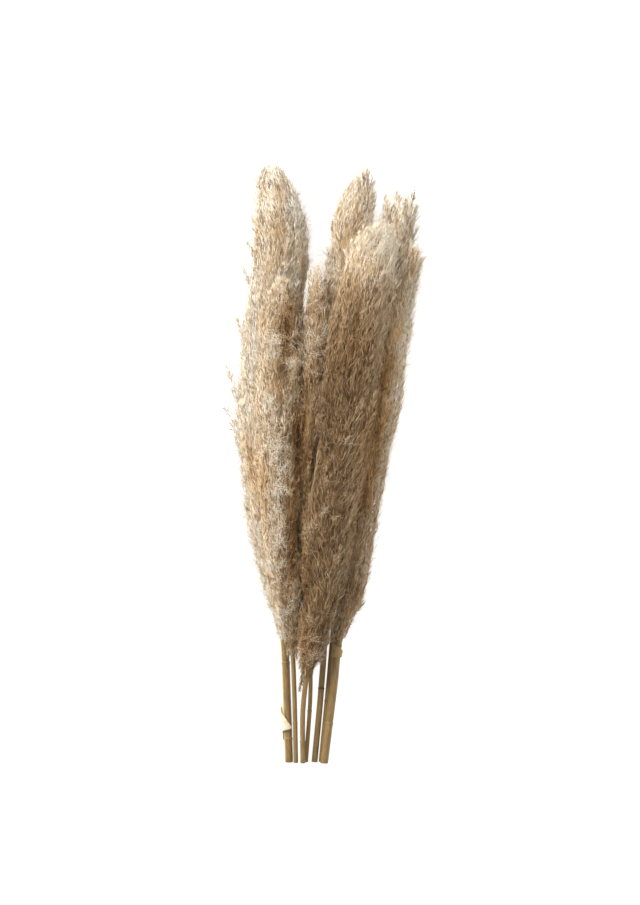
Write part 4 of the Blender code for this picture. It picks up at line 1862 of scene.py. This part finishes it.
    def _chain(
        self,
        start: Array,
        heading: Array,
        axis: Array,
        bend: Array,
        step: Array,
        links: int,
        width: Array,
        tone: Array,
    ) -> Strands:
        """Bent hairs, each a chain of short spindles that overlap.

        Args:
            start: where they start, as offsets from the plume's line.
            heading: their first directions.
            axis: what each turns about as it goes.
            bend: how far it turns at each link.
            step: the length of a link.
            links: how many links a hair has.
            width: how wide it is.
            tone: how much lighter than the head it is.

        Returns:
            The spindles of all links.
        """
        habit, groups = self.habit, []
        point, direction = start, heading
        warmth = np.zeros(len(start))
        turn = bend[:, None]
        for link in range(links):
            end = point + direction * step[:, None]
            root = point - direction * (step * habit.link_overlap)[:, None]
            fade = 1.0 - habit.link_fade * link / links
            made = self._strands(root, end, width * fade, habit.link_bow, tone, warmth)
            groups.append(made)
            side = np.cross(axis, direction)
            direction = unit(
                direction * np.cos(turn)
                + side * np.sin(turn)
                + axis * (axis * direction).sum(axis=1, keepdims=True) * (1 - np.cos(turn))
            )
            point = end
        return Strands.joined(groups)

    def _surface(self, count: int, share: Pair) -> tuple[Array, Array]:
        """Places spread over the head, and the direction outward at each.

        Args:
            count: how many places.
            share: the least and the most share of the head's reach.

        Returns:
            The places as offsets from the plume's line, more of them above than below it,
            and their unit directions outward.
        """
        chance = self.chance
        stops = np.linspace(0.0, 0.985, 200) * self.length + self.start
        grown = np.cumsum(self.course.at(stops)[1])
        along = np.interp(chance.uniform(0, grown[-1], count), grown, stops)
        stops = np.linspace(0, math.tau, 181)
        grown = stops + self.habit.above * (1 - np.cos(stops))
        radial = around(np.interp(chance.uniform(0, math.tau, count), grown, stops))
        reach = self.course.at(along)[1] * chance.uniform(*share, count)
        return radial * reach[:, None] + np.outer(along, ALONG), radial

    def _laid(self, foot: Array, length: Array, drift: Array, share: Array) -> Array:
        """Where hairs end that lie along the head.

        Args:
            foot: where they start, as offsets from the plume's line.
            length: how far each runs along the head.
            drift: how far each drifts sideways.
            share: the share of the head's reach that each ends at.

        Returns:
            Their ends, as offsets from the plume's line.
        """
        far = foot[:, 1] + length
        reach = self.course.at(foot[:, 1])[1]
        far_reach = np.maximum(self.course.at(far)[1], self.habit.blunt * reach)
        made = around(np.arctan2(foot[:, 2], foot[:, 0]) + drift / np.maximum(far_reach, 0.004))
        made[:, 1] = far
        return made * self._round(share * far_reach * self._bumps(made))

    @staticmethod
    def _round(distance: Array) -> Array:
        """Scales that set points at a distance from the line and leave them along it."""
        return np.column_stack([distance, np.ones(len(distance)), distance])

    def _kept(self, foot: Array) -> Array:
        """Which hairs are kept, fewer and fewer of them toward the tip.

        Args:
            foot: where they start, as offsets from the plume's line.

        Returns:
            Whether each is kept.
        """
        ahead = (self.course.tip - foot[:, 1]) / self.habit.thin_end
        least, more = self.habit.kept
        return self.chance.uniform(0, 1, len(foot)) < least + more * ahead

    def locks(self) -> Strands:
        """Soft locks of long hair that lie close together all over the head.

        The hairs of a lock start apart and close a little toward its point, and
        neighbouring locks lean alike.
        """
        habit, chance = self.habit, self.chance
        foot, _radial = self._surface(self.cane.locks, habit.lock_root_share)
        foot = foot[self._kept(foot)]
        foot = foot * self._round(self._bumps(foot))
        count = len(foot)
        reach = self.course.at(foot[:, 1])[1]
        length = chance.uniform(*habit.lock_length, count) * slimmer(reach, *habit.lock_slim)
        ahead = self.course.tip - foot[:, 1]
        length = np.minimum(length, ahead * chance.uniform(*habit.lock_short, count) + 0.002)
        drift = (self._flow(foot) + chance.normal(0, 0.5, count)) * habit.lock_drift
        drift = drift + length * habit.spread_lean * self._spreading(foot)
        tip = self._laid(foot, length, drift, chance.uniform(*habit.lock_tip_share, count))
        tone, warmth = self._scattered(count, habit.lock_scatter)
        pick = np.repeat(np.arange(count), habit.lock_hairs)
        total = len(pick)
        begin = chance.uniform(*habit.lock_hair_start, total)
        share = chance.uniform(*habit.lock_hair_share, total)
        end = np.minimum(begin + share, habit.lock_hair_end)
        size = habit.lock_width * slimmer(reach[pick], habit.lock_slim_width)
        loose = np.where(chance.uniform(0, 1, total) < habit.lock_loose, 2.0, 1.0)
        offset = chance.normal(0.0, habit.lock_spread, (total, 3)) * (size * loose)[:, None]
        offset[:, 1] = 0.0
        line = tip[pick] - foot[pick]
        near, far = (1 - habit.lock_close * part[:, None] for part in (begin, end))
        first = foot[pick] + line * begin[:, None] + offset * near
        last = foot[pick] + line * end[:, None] + offset * far
        wander = chance.normal(0.0, habit.lock_wander, (total, 3)) * loose[:, None]
        width = chance.uniform(*habit.lock_hair_width, total)
        hair_tone, hair_warmth = self._scattered(total, habit.lock_hair_scatter)
        return self._strands(
            first,
            last + wander,
            width,
            habit.lock_bow,
            tone[pick] + hair_tone,
            warmth[pick] + hair_warmth,
        )

    def cover(self) -> Strands:
        """Short single hairs laid close over the whole head, which soften its locks."""
        habit, chance = self.habit, self.chance
        foot, _radial = self._surface(self.cane.cover, habit.cover_root_share)
        foot = foot[self._kept(foot)]
        count = len(foot)
        reach = self.course.at(foot[:, 1])[1]
        length = chance.uniform(*habit.cover_length, count) * slimmer(reach)
        lean = habit.cover_flow * self._flow(foot) + habit.spread_lean * self._spreading(foot)
        drift = length * (lean + chance.normal(0, habit.cover_lean, count))
        share = np.linalg.norm(foot[:, [0, 2]], axis=1) / reach
        share = share + chance.uniform(*habit.cover_rise, count)
        foot = foot * self._round(self._bumps(foot))
        tip = self._laid(foot, length, drift, share)
        width = chance.uniform(*habit.cover_width, count)
        tone, warmth = self._scattered(count, habit.cover_scatter)
        tone = self._streak(foot) + tone
        return self._strands(foot, tip, width, habit.cover_bow, tone, warmth)

    def _streak(self, points: Array) -> Array:
        """How much lighter soft streaks of the hair are.

        Args:
            points: where, as offsets from the plume's line.

        Returns:
            The tone that they add.
        """
        habit, seed = self.habit, STREAK_SEED
        broad = self._waves(points, habit.streak_scale, seed)
        fine = self._waves(points, habit.fine_streak_scale, seed, True)
        broad_share, fine_share = habit.streak_shares
        return broad_share * broad + fine_share * fine

    def _flow(self, points: Array) -> Array:
        """How far hair leans sideways over the head, in soft swirls.

        Args:
            points: where, as offsets from the plume's line.

        Returns:
            The lean, from about -1 to 1.
        """
        habit, seed = self.habit, FLOW_SEED
        broad = self._waves(points, habit.flow_scale, seed)
        fine = self._waves(points, habit.fine_flow_scale, seed, True)
        return (broad + habit.fine_flow * fine) * habit.flow

    def _curling(
        self,
        start: Array,
        radial: Array,
        curl: Curl,
        tones: tuple[Any, Any],
        darker: Array | float = 0.0,
    ) -> Strands:
        """Hairs that stand out of the head and bend as they go.

        Args:
            start: where they start, as offsets from the plume's line.
            radial: the direction out of the head at each.
            curl: how they grow.
            tones: the least and the most that they are lighter than the head.
            darker: how much is taken off that.

        Returns:
            The spindles of all of them.
        """
        chance, count = self.chance, len(start)
        lean = np.radians(chance.uniform(*curl.lean, count))
        if curl.scattered:
            away = chance.normal(0.0, curl.turn, count)
        else:
            away = chance.uniform(-curl.turn, curl.turn, count)
        return self._chain(
            start,
            self._leaning(ALONG, radial, away, lean),
            unit(chance.normal(0, 1, (count, 3))),
            np.radians(chance.uniform(*curl.bend, count)),
            chance.uniform(*curl.step, count),
            curl.links,
            chance.uniform(*curl.width, count),
            chance.uniform(*tones, count) - darker,
        )

    def stray_hairs(self) -> Strands:
        """Long single hairs that stand out of the head, most of them at its sides."""
        habit, chance, count = self.habit, self.chance, self.cane.strays
        start, radial = self._surface(count, habit.stray_share)
        reach = np.linalg.norm(start[:, [0, 2]], axis=1)
        other_side = math.pi * (chance.uniform(0, 1, count) < 0.5)
        turn = other_side + chance.normal(0, habit.stray_turn, count)
        beside = chance.uniform(0, 1, count) < habit.stray_beside
        radial = around(np.where(beside, turn, np.arctan2(radial[:, 2], radial[:, 0])))
        start = radial * reach[:, None] + start * ALONG
        start = start * self._round(self._bumps(start))
        return self._curling(start, radial, STRAY_CURL, habit.stray_tone)

    def curled_hairs(self) -> Strands:
        """Short pale curled hairs, scattered over the head and frothing up in places."""
        habit = self.habit
        scattered, _radial = self._surface(self.cane.curls, habit.curl_share)
        start = np.concatenate([scattered, self._froth()])
        among = np.arange(len(start))[:, None] < len(scattered)
        low, high = np.where(among, habit.curl_tone, habit.froth_tone).T
        radial = unit(start * np.array([1.0, 0.0, 1.0]))
        darker = habit.curl_even * self._tone(start)[0]
        return self._curling(start, radial, FROTH_CURL, (low, high), darker)

    def fringe(self) -> Strands:
        """Fine curling hair that stands out along parts of the head's edges."""
        habit, chance = self.habit, self.chance
        rows = np.array(self.cane.fringe, float)
        pick = np.repeat(np.arange(len(rows)), rows[:, 3].astype(int))
        count = len(pick)
        along = blend(rows[pick, 0], rows[pick, 1], chance.uniform(0, 1, count)) * MM
        along = along + LAYOUT_SHIFT[1]
        scatter = chance.normal(0, habit.fringe_turn, count)
        radial = around(np.radians(rows[pick, 2]) + scatter)
        reach = self.course.at(along)[1] * chance.uniform(*habit.fringe_share, count)
        start = radial * reach[:, None] + np.outer(along, ALONG)
        start = start * self._round(self._bumps(start))
        return self._curling(start, radial, FRINGE_CURL, habit.fringe_tone)

    def _froth(self) -> Array:
        """Where the hairs of frothing clusters start."""
        habit, chance = self.habit, self.chance
        places = [np.zeros((0, 3))]
        for along, across, reach_along, reach_across, clusters in self.cane.frizz:
            spot = chance.normal(0, 1, (clusters, 2)) * (reach_along, reach_across)
            middle = (spot + (along, across)) * MM + LAYOUT_SHIFT[::-1]
            middle[:, 0] = middle[:, 0].clip(self.start + habit.froth_margin, None)
            centre, reach = self.course.at(middle[:, 0])
            most = habit.froth_aside * reach
            aside = (middle[:, 1] - centre[:, 0]).clip(-most, most)
            high = np.sqrt(reach**2 - aside**2) * habit.froth_height
            made = np.column_stack([aside, middle[:, 0], high])
            made = np.repeat(made, habit.froth_hairs, axis=0)
            places.append(made + chance.normal(0, habit.froth_spread, made.shape))
        return np.concatenate(places)

    def twigs(self) -> Strands:
        """Bare thin stalks that show past the hair."""
        habit = self.habit
        rows = np.array(self.cane.twigs, float)
        place = rows[:, :3] * MM
        along = place[:, 0] + LAYOUT_SHIFT[1]
        centre = self.course.at(along)[0]
        start = np.column_stack(
            [place[:, 1] + LAYOUT_SHIFT[0] - centre[:, 0], along, place[:, 2] - centre[:, 1]]
        )
        line = np.column_stack([rows[:, 4], rows[:, 3], np.zeros(len(rows))])
        return self._chain(
            start,
            unit(line),
            np.tile((0.0, 0.0, 1.0), (len(rows), 1)),
            np.full(len(rows), math.radians(habit.twig_bend)),
            np.linalg.norm(line, axis=1) * MM,
            habit.twig_links,
            rows[:, 5] * MM,
            rows[:, 6],
        )


@dataclass
class Culm:
    """One jointed stem, which replaces its solid."""

    cane: Cane
    layout: Layout
    sides: int = 32
    step: float = 0.006
    joint_half: float = 0.0022
    joint_swell: float = 1.10
    joint_clear: float = 2.2
    socket: float = 0.018
    cut_bevel: float = 0.0002
    rim_share: float = 0.16
    pith_depth: float = 0.0003
    ribs: int = 11
    rib_depth: float = 0.008
    out_of_round: float = 0.006
    # Where the painted highlight on the left flank begins, and how far it fades in.
    flank_edge: float = 0.62
    flank_fade: float = 0.3

    def __post_init__(self) -> None:
        """Looks up the culm's line."""
        self.course = self.layout.courses[self.cane.number]

    def build(self, finish: bpy.types.Material, pith: bpy.types.Material) -> bpy.types.Object:
        """Builds the culm from its cut end up into the plume.

        Args:
            finish: the material of its skin.
            pith: the material of its cut ends.

        Returns:
            The finished piece.
        """
        shape = bmesh.new()
        fibre = shape.loops.layers.uv.new(FIBRE_MAP)
        for name in (RING_SHADE, FLANK_HIGHLIGHT):
            shape.verts.layers.float.new(name)
        draw_tube(
            shape,
            self.sides,
            self._stops(),
            lambda rim, stop: self._set_ring(shape, rim, *stop),
            keeps_foot=True,
        )
        for face in shape.faces:
            face.smooth = len(face.verts) == 4
            face.material_index = 0 if face.smooth else 1
        self._map(shape, fibre)
        self._cut(shape)
        mesh = made_mesh(shape, f"stem_{self.cane.number}_culm")
        mesh.materials.append(finish)
        mesh.materials.append(pith)
        log.info("stem %d: %d faces", self.cane.number, len(mesh.polygons))
        return placed(mesh.name, mesh)

    def _stops(self) -> list[Triple]:
        """The rings along the culm, as rows of (place, radius, how dark the ring is)."""
        end = self.cane.plume_start * MM + LAYOUT_SHIFT[1] + self.socket
        radius = self.cane.stem_radius * MM
        rows = [(float(a), radius, 0.0) for a in np.arange(self.course.start, end, self.step)]
        half, swell = self.joint_half, self.joint_swell
        profile = (
            (-2.0, 1.0, 0.0),
            (-0.9, 1 + 0.35 * (swell - 1), 0.1),
            (-0.35, 1 + 0.8 * (swell - 1), 0.55),
            (-0.15, swell, 0.95),
            (0.10, swell, 1.0),
            (0.20, 0.97, 1.0),
            (0.45, 0.955, 0.6),
            (1.4, 0.985, 0.12),
            (2.0, 1.0, 0.0),
        )
        for joint in self.cane.joints:
            middle = joint * MM + LAYOUT_SHIFT[1]
            rows = [row for row in rows if abs(row[0] - middle) > self.joint_clear * half]
            rows += [(middle + at * half, radius * wide, dark) for at, wide, dark in profile]
        return sorted(rows)

    def _set_ring(
        self, shape: Any, rim: Sequence[Any], along: float, radius: float, shade: float
    ) -> None:
        """Sets one ring of the culm square to its line.

        Args:
            shape: the bmesh that it is in.
            rim: its points.
            along: where it is.
            radius: its radius.
            shade: how dark it is.
        """
        ringed = shape.verts.layers.float[RING_SHADE]
        flanked = shape.verts.layers.float[FLANK_HIGHLIGHT]
        near = self.course.at(np.array([along - 0.001, along, along + 0.001]))[0]
        middle = Vector((near[1, 0], along, near[1, 1]))
        line = Vector((near[2, 0] - near[0, 0], 0.002, near[2, 1] - near[0, 1])).normalized()
        side = line.cross(Vector((0, 0, 1))).normalized()
        up = side.cross(line)
        for k, vert in enumerate(rim):
            turn = math.tau * k / len(rim)
            ribs = self.rib_depth * math.sin(turn * self.ribs + self.cane.number)
            rib = 1 + ribs - self.out_of_round * math.cos(3 * turn)
            vert.co = middle + (side * math.cos(turn) + up * math.sin(turn)) * radius * rib
            vert[ringed] = shade * self.cane.joint_shade
            # A painted highlight on the left flank, which faces the key light.
            left = (-math.cos(turn) - self.flank_edge) / self.flank_fade
            vert[flanked] = self.cane.pale_flank * min(1.0, max(0.0, left))

    def _map(self, shape: Any, fibre: Any) -> None:
        """Lays the fibre map round and along the culm.

        Args:
            shape: the bmesh.
            fibre: the map.
        """
        for face in shape.faces:
            turns = []
            for loop in face.loops:
                centre = self.course.at(np.array([loop.vert.co.y]))[0][0]
                offset = (loop.vert.co.x - centre[0], loop.vert.co.z - centre[1])
                turns.append(math.atan2(offset[1], offset[0]) / math.tau + 0.5)
            wraps = max(turns) - min(turns) > 0.5
            for loop, turn in zip(face.loops, turns):
                round_part = turn + 1 if wraps and turn < 0.5 else turn
                loop[fibre].uv = (round_part, loop.vert.co.y * 10 + self.cane.number)

    def _cut(self, shape: Any) -> None:
        """Breaks the edge of the cut end and sinks its pith a little.

        Args:
            shape: the bmesh.
        """
        bmesh.ops.bevel(
            shape,
            geom=self._end_face(shape).edges[:],
            offset=self.cut_bevel,
            segments=2,
            profile=0.5,
            affect="EDGES",
            material=-1,
        )
        bmesh.ops.inset_region(
            shape,
            faces=[self._end_face(shape)],
            thickness=self.cane.stem_radius * MM * self.rim_share,
            depth=-self.pith_depth,
        )

    @staticmethod
    def _end_face(shape: Any) -> Any:
        """The many-sided face that closes the culm's cut end."""
        ends = [face for face in shape.faces if len(face.verts) > 4]
        return min(ends, key=lambda face: face.calc_center_median().y)


@dataclass
class SheathScrap:
    """A thin torn scrap of leaf sheath that clasps a stem, and replaces its solid.

    Its start, end and flare are in millimetres. Its turns are in degrees, and so is the
    strip, where its edge runs up to the film that widens near its end.
    """

    cane: Cane
    layout: Layout
    start: float
    end: float
    turns: Pair
    strip: float
    flare: float
    tear: float = 0.6
    wall: float = 0.0004
    clear_share: float = 1.16
    clear: float = 0.0007
    columns: int = 26
    rows: int = 30

    def build(self, finish: bpy.types.Material) -> bpy.types.Object:
        """Builds the scrap as a thin shell.

        Args:
            finish: its material.

        Returns:
            The finished piece.
        """
        shape = bmesh.new()
        bmesh.ops.create_grid(
            shape, x_segments=self.columns, y_segments=self.rows, size=0.5, calc_uvs=False
        )
        fibre = shape.loops.layers.uv.new(FIBRE_MAP)
        for face in shape.faces:
            face.smooth = True
            for loop in face.loops:
                loop[fibre].uv = (loop.vert.co.x + 0.5, loop.vert.co.y + 0.5)
        for vert in shape.verts:
            vert.co = self._point(vert.co.x + 0.5, vert.co.y + 0.5)
        bmesh.ops.recalc_face_normals(shape, faces=shape.faces)
        mesh = made_mesh(shape, f"sheath_{self.cane.number}_scrap")
        mesh.materials.append(finish)
        piece = placed(mesh.name, mesh)
        wall = piece.modifiers.new("Wall", "SOLIDIFY")
        wall.thickness = self.wall
        wall.offset = 0.0
        log.info("sheath %d: %d faces", self.cane.number, len(mesh.polygons))
        return piece

    def _point(self, round_part: float, long_part: float) -> Triple:
        """A point of the scrap.

        Args:
            round_part: how far round the stem it is, from 0 to 1.
            long_part: how far along the scrap it is, from 0 to 1.

        Returns:
            Its place in the frame.
        """
        first, last = (math.radians(turn) for turn in self.turns)
        strip = math.radians(self.strip)
        film = min(1.0, max(0.0, (long_part - 0.62) / 0.3))
        edge = strip + (first - strip) * film**2 * (3 - 2 * film)
        turn = edge + (last - edge) * round_part
        ragged = 0.05 * noise.noise(Vector((round_part * 9, self.start, 1.0)))
        torn = 1 - self.tear * (1 - round_part) ** 1.6 + ragged
        along = (self.start + (self.end - self.start) * long_part * torn) * MM
        ripple = noise.noise(Vector((round_part * 3, long_part * 4, self.end)))
        clear = self.cane.stem_radius * MM * self.clear_share + self.clear
        lift = clear + self.flare * MM * long_part**2 + 0.0004 * ripple * long_part
        along = along + LAYOUT_SHIFT[1]
        centre = self.layout.courses[self.cane.number].at(np.array([along]))[0][0]
        return (
            centre[0] + math.cos(turn) * lift,
            along,
            centre[1] + math.sin(turn) * lift,
        )


@dataclass
class Studio:
    """The plain pale floor, the soft lights and the camera."""

    lens: float = 85.0
    sensor: float = 36.0
    height: float = 2.215
    across: float = -0.0030
    along: float = 0.0107
    sees: Pair = (0.1, 30.0)
    aim: Triple = (0.0, 0.02, 0.03)
    key_place: Triple = (-1.15, 1.05, 0.92)
    key_colour: Colour = (1.0, 0.965, 0.91)
    key_watts: float = 53.0
    fill_place: Triple = (1.25, 0.45, 0.95)
    fill_colour: Colour = (1.0, 0.94, 0.86)
    fill_watts: float = 9.5
    lamp_size: float = 1.4
    sky: float = 0.50
    sky_colour: Colour = (0.97, 0.985, 1.0)
    floor_half: float = 6.0
    floor_grey: float = 0.40
    floor_glow: float = 0.86

    def build(self) -> None:
        """Sets up all of it."""
        self._camera()
        self._floor()
        self._world()
        self._area("Key", self.key_place, self.key_watts, self.key_colour)
        self._area("Fill", self.fill_place, self.fill_watts, self.fill_colour)
        view = bpy.context.scene.view_settings
        view.view_transform = "Standard"
        view.look = "None"
        log.info("studio is set")

    def _camera(self) -> None:
        """A camera straight above the bundle, its top toward the tips."""
        data = bpy.data.cameras.new("Camera")
        data.lens = self.lens
        data.sensor_width = self.sensor
        data.clip_start, data.clip_end = self.sees
        camera = placed("Camera", data)
        camera.location = (self.across, self.along, self.height)
        bpy.context.scene.camera = camera

    def _floor(self) -> None:
        """A wide pale floor under the bundle."""
        shape = bmesh.new()
        bmesh.ops.create_grid(shape, x_segments=1, y_segments=1, size=self.floor_half)
        mesh = made_mesh(shape, "Floor")
        looks = {
            "Base Color": (self.floor_grey,) * 3 + (1.0,),
            "Roughness": 0.9,
            "Specular IOR Level": 0.1,
            "Emission Color": (1.0, 1.0, 1.0, 1.0),
            "Emission Strength": self.floor_glow,
        }
        mesh.materials.append(Graph("pale_floor").finish({}, looks))
        floor = placed("Floor", mesh)

    def _world(self) -> None:
        """An even pale sky."""
        world = bpy.data.worlds.new("Sky")
        world.use_nodes = True
        sky = world.node_tree.nodes["Background"]
        sky.inputs["Color"].default_value = (*self.sky_colour, 1.0)
        sky.inputs["Strength"].default_value = self.sky
        bpy.context.scene.world = world

    def _area(
        self,
        name: str,
        place: Triple,
        watts: float,
        colour: Colour,
    ) -> None:
        """A square soft light that points at the bundle.

        Args:
            name: its name.
            place: where it hangs.
            watts: its power.
            colour: its colour.
        """
        data = bpy.data.lights.new(name, "AREA")
        data.size = self.lamp_size
        data.energy = watts
        data.color = colour
        lamp = placed(name, data)
        lamp.location = place
        aim = Vector(self.aim) - Vector(place)
        lamp.rotation_euler = aim.to_track_quat("-Z", "Y").to_euler()


def attach(piece: bpy.types.Object, node: str) -> None:
    """Makes a piece ride with the bundle and stand for a node.

    Args:
        piece: the piece.
        node: the node that it replaces.
    """
    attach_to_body(piece, ROOT_BODY)
    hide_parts(node)


def corners(box: Any) -> list[list[float]]:
    """A box's lowest and highest corners as plain lists."""
    return [list(corner) for corner in box]


def main() -> None:
    """Loads the frame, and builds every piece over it."""
    logging.basicConfig(level=logging.INFO, format="%(message)s")
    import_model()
    Studio().build()
    layout = Layout(CANES)
    silks = {
        slot: SilkFinish(slot.value + "_silk").make()
        for slot in (Slot.PALE, Slot.TAN, Slot.BROWN)
    }
    straw = CulmFinish("straw_culm").make()
    pith = PithFinish("cut_pith").make()
    paper = PaperFinish("dry_sheath").make()
    husk = PaperFinish(
        "straw_sheath",
        groove=(0.30, 0.19, 0.075),
        ridge=(0.46, 0.32, 0.15),
        stain=(0.20, 0.11, 0.045),
    ).make()
    by_number = {cane.number: cane for cane in CANES}
    for cane in CANES:
        slot = cane.complexion.slot
        head = Plume(cane, layout, Habit()).build(silks[slot])
        attach(head, f"plume_{cane.number}")
        culm = Culm(cane, layout).build(straw, pith)
        attach(culm, f"stem_{cane.number}")
    curled = SheathScrap(
        by_number[1], layout, start=-281, end=-246, turns=(55, 222), strip=152, flare=1.2
    )
    close = SheathScrap(
        by_number[7], layout, start=-194, end=-179.5, turns=(10, 170), strip=10, flare=0.5
    )
    for scrap, finish in ((curled, paper), (close, husk)):
        attach(scrap.build(finish), f"sheath_{scrap.cane.number}")


if __name__ == "__main__":
    main()
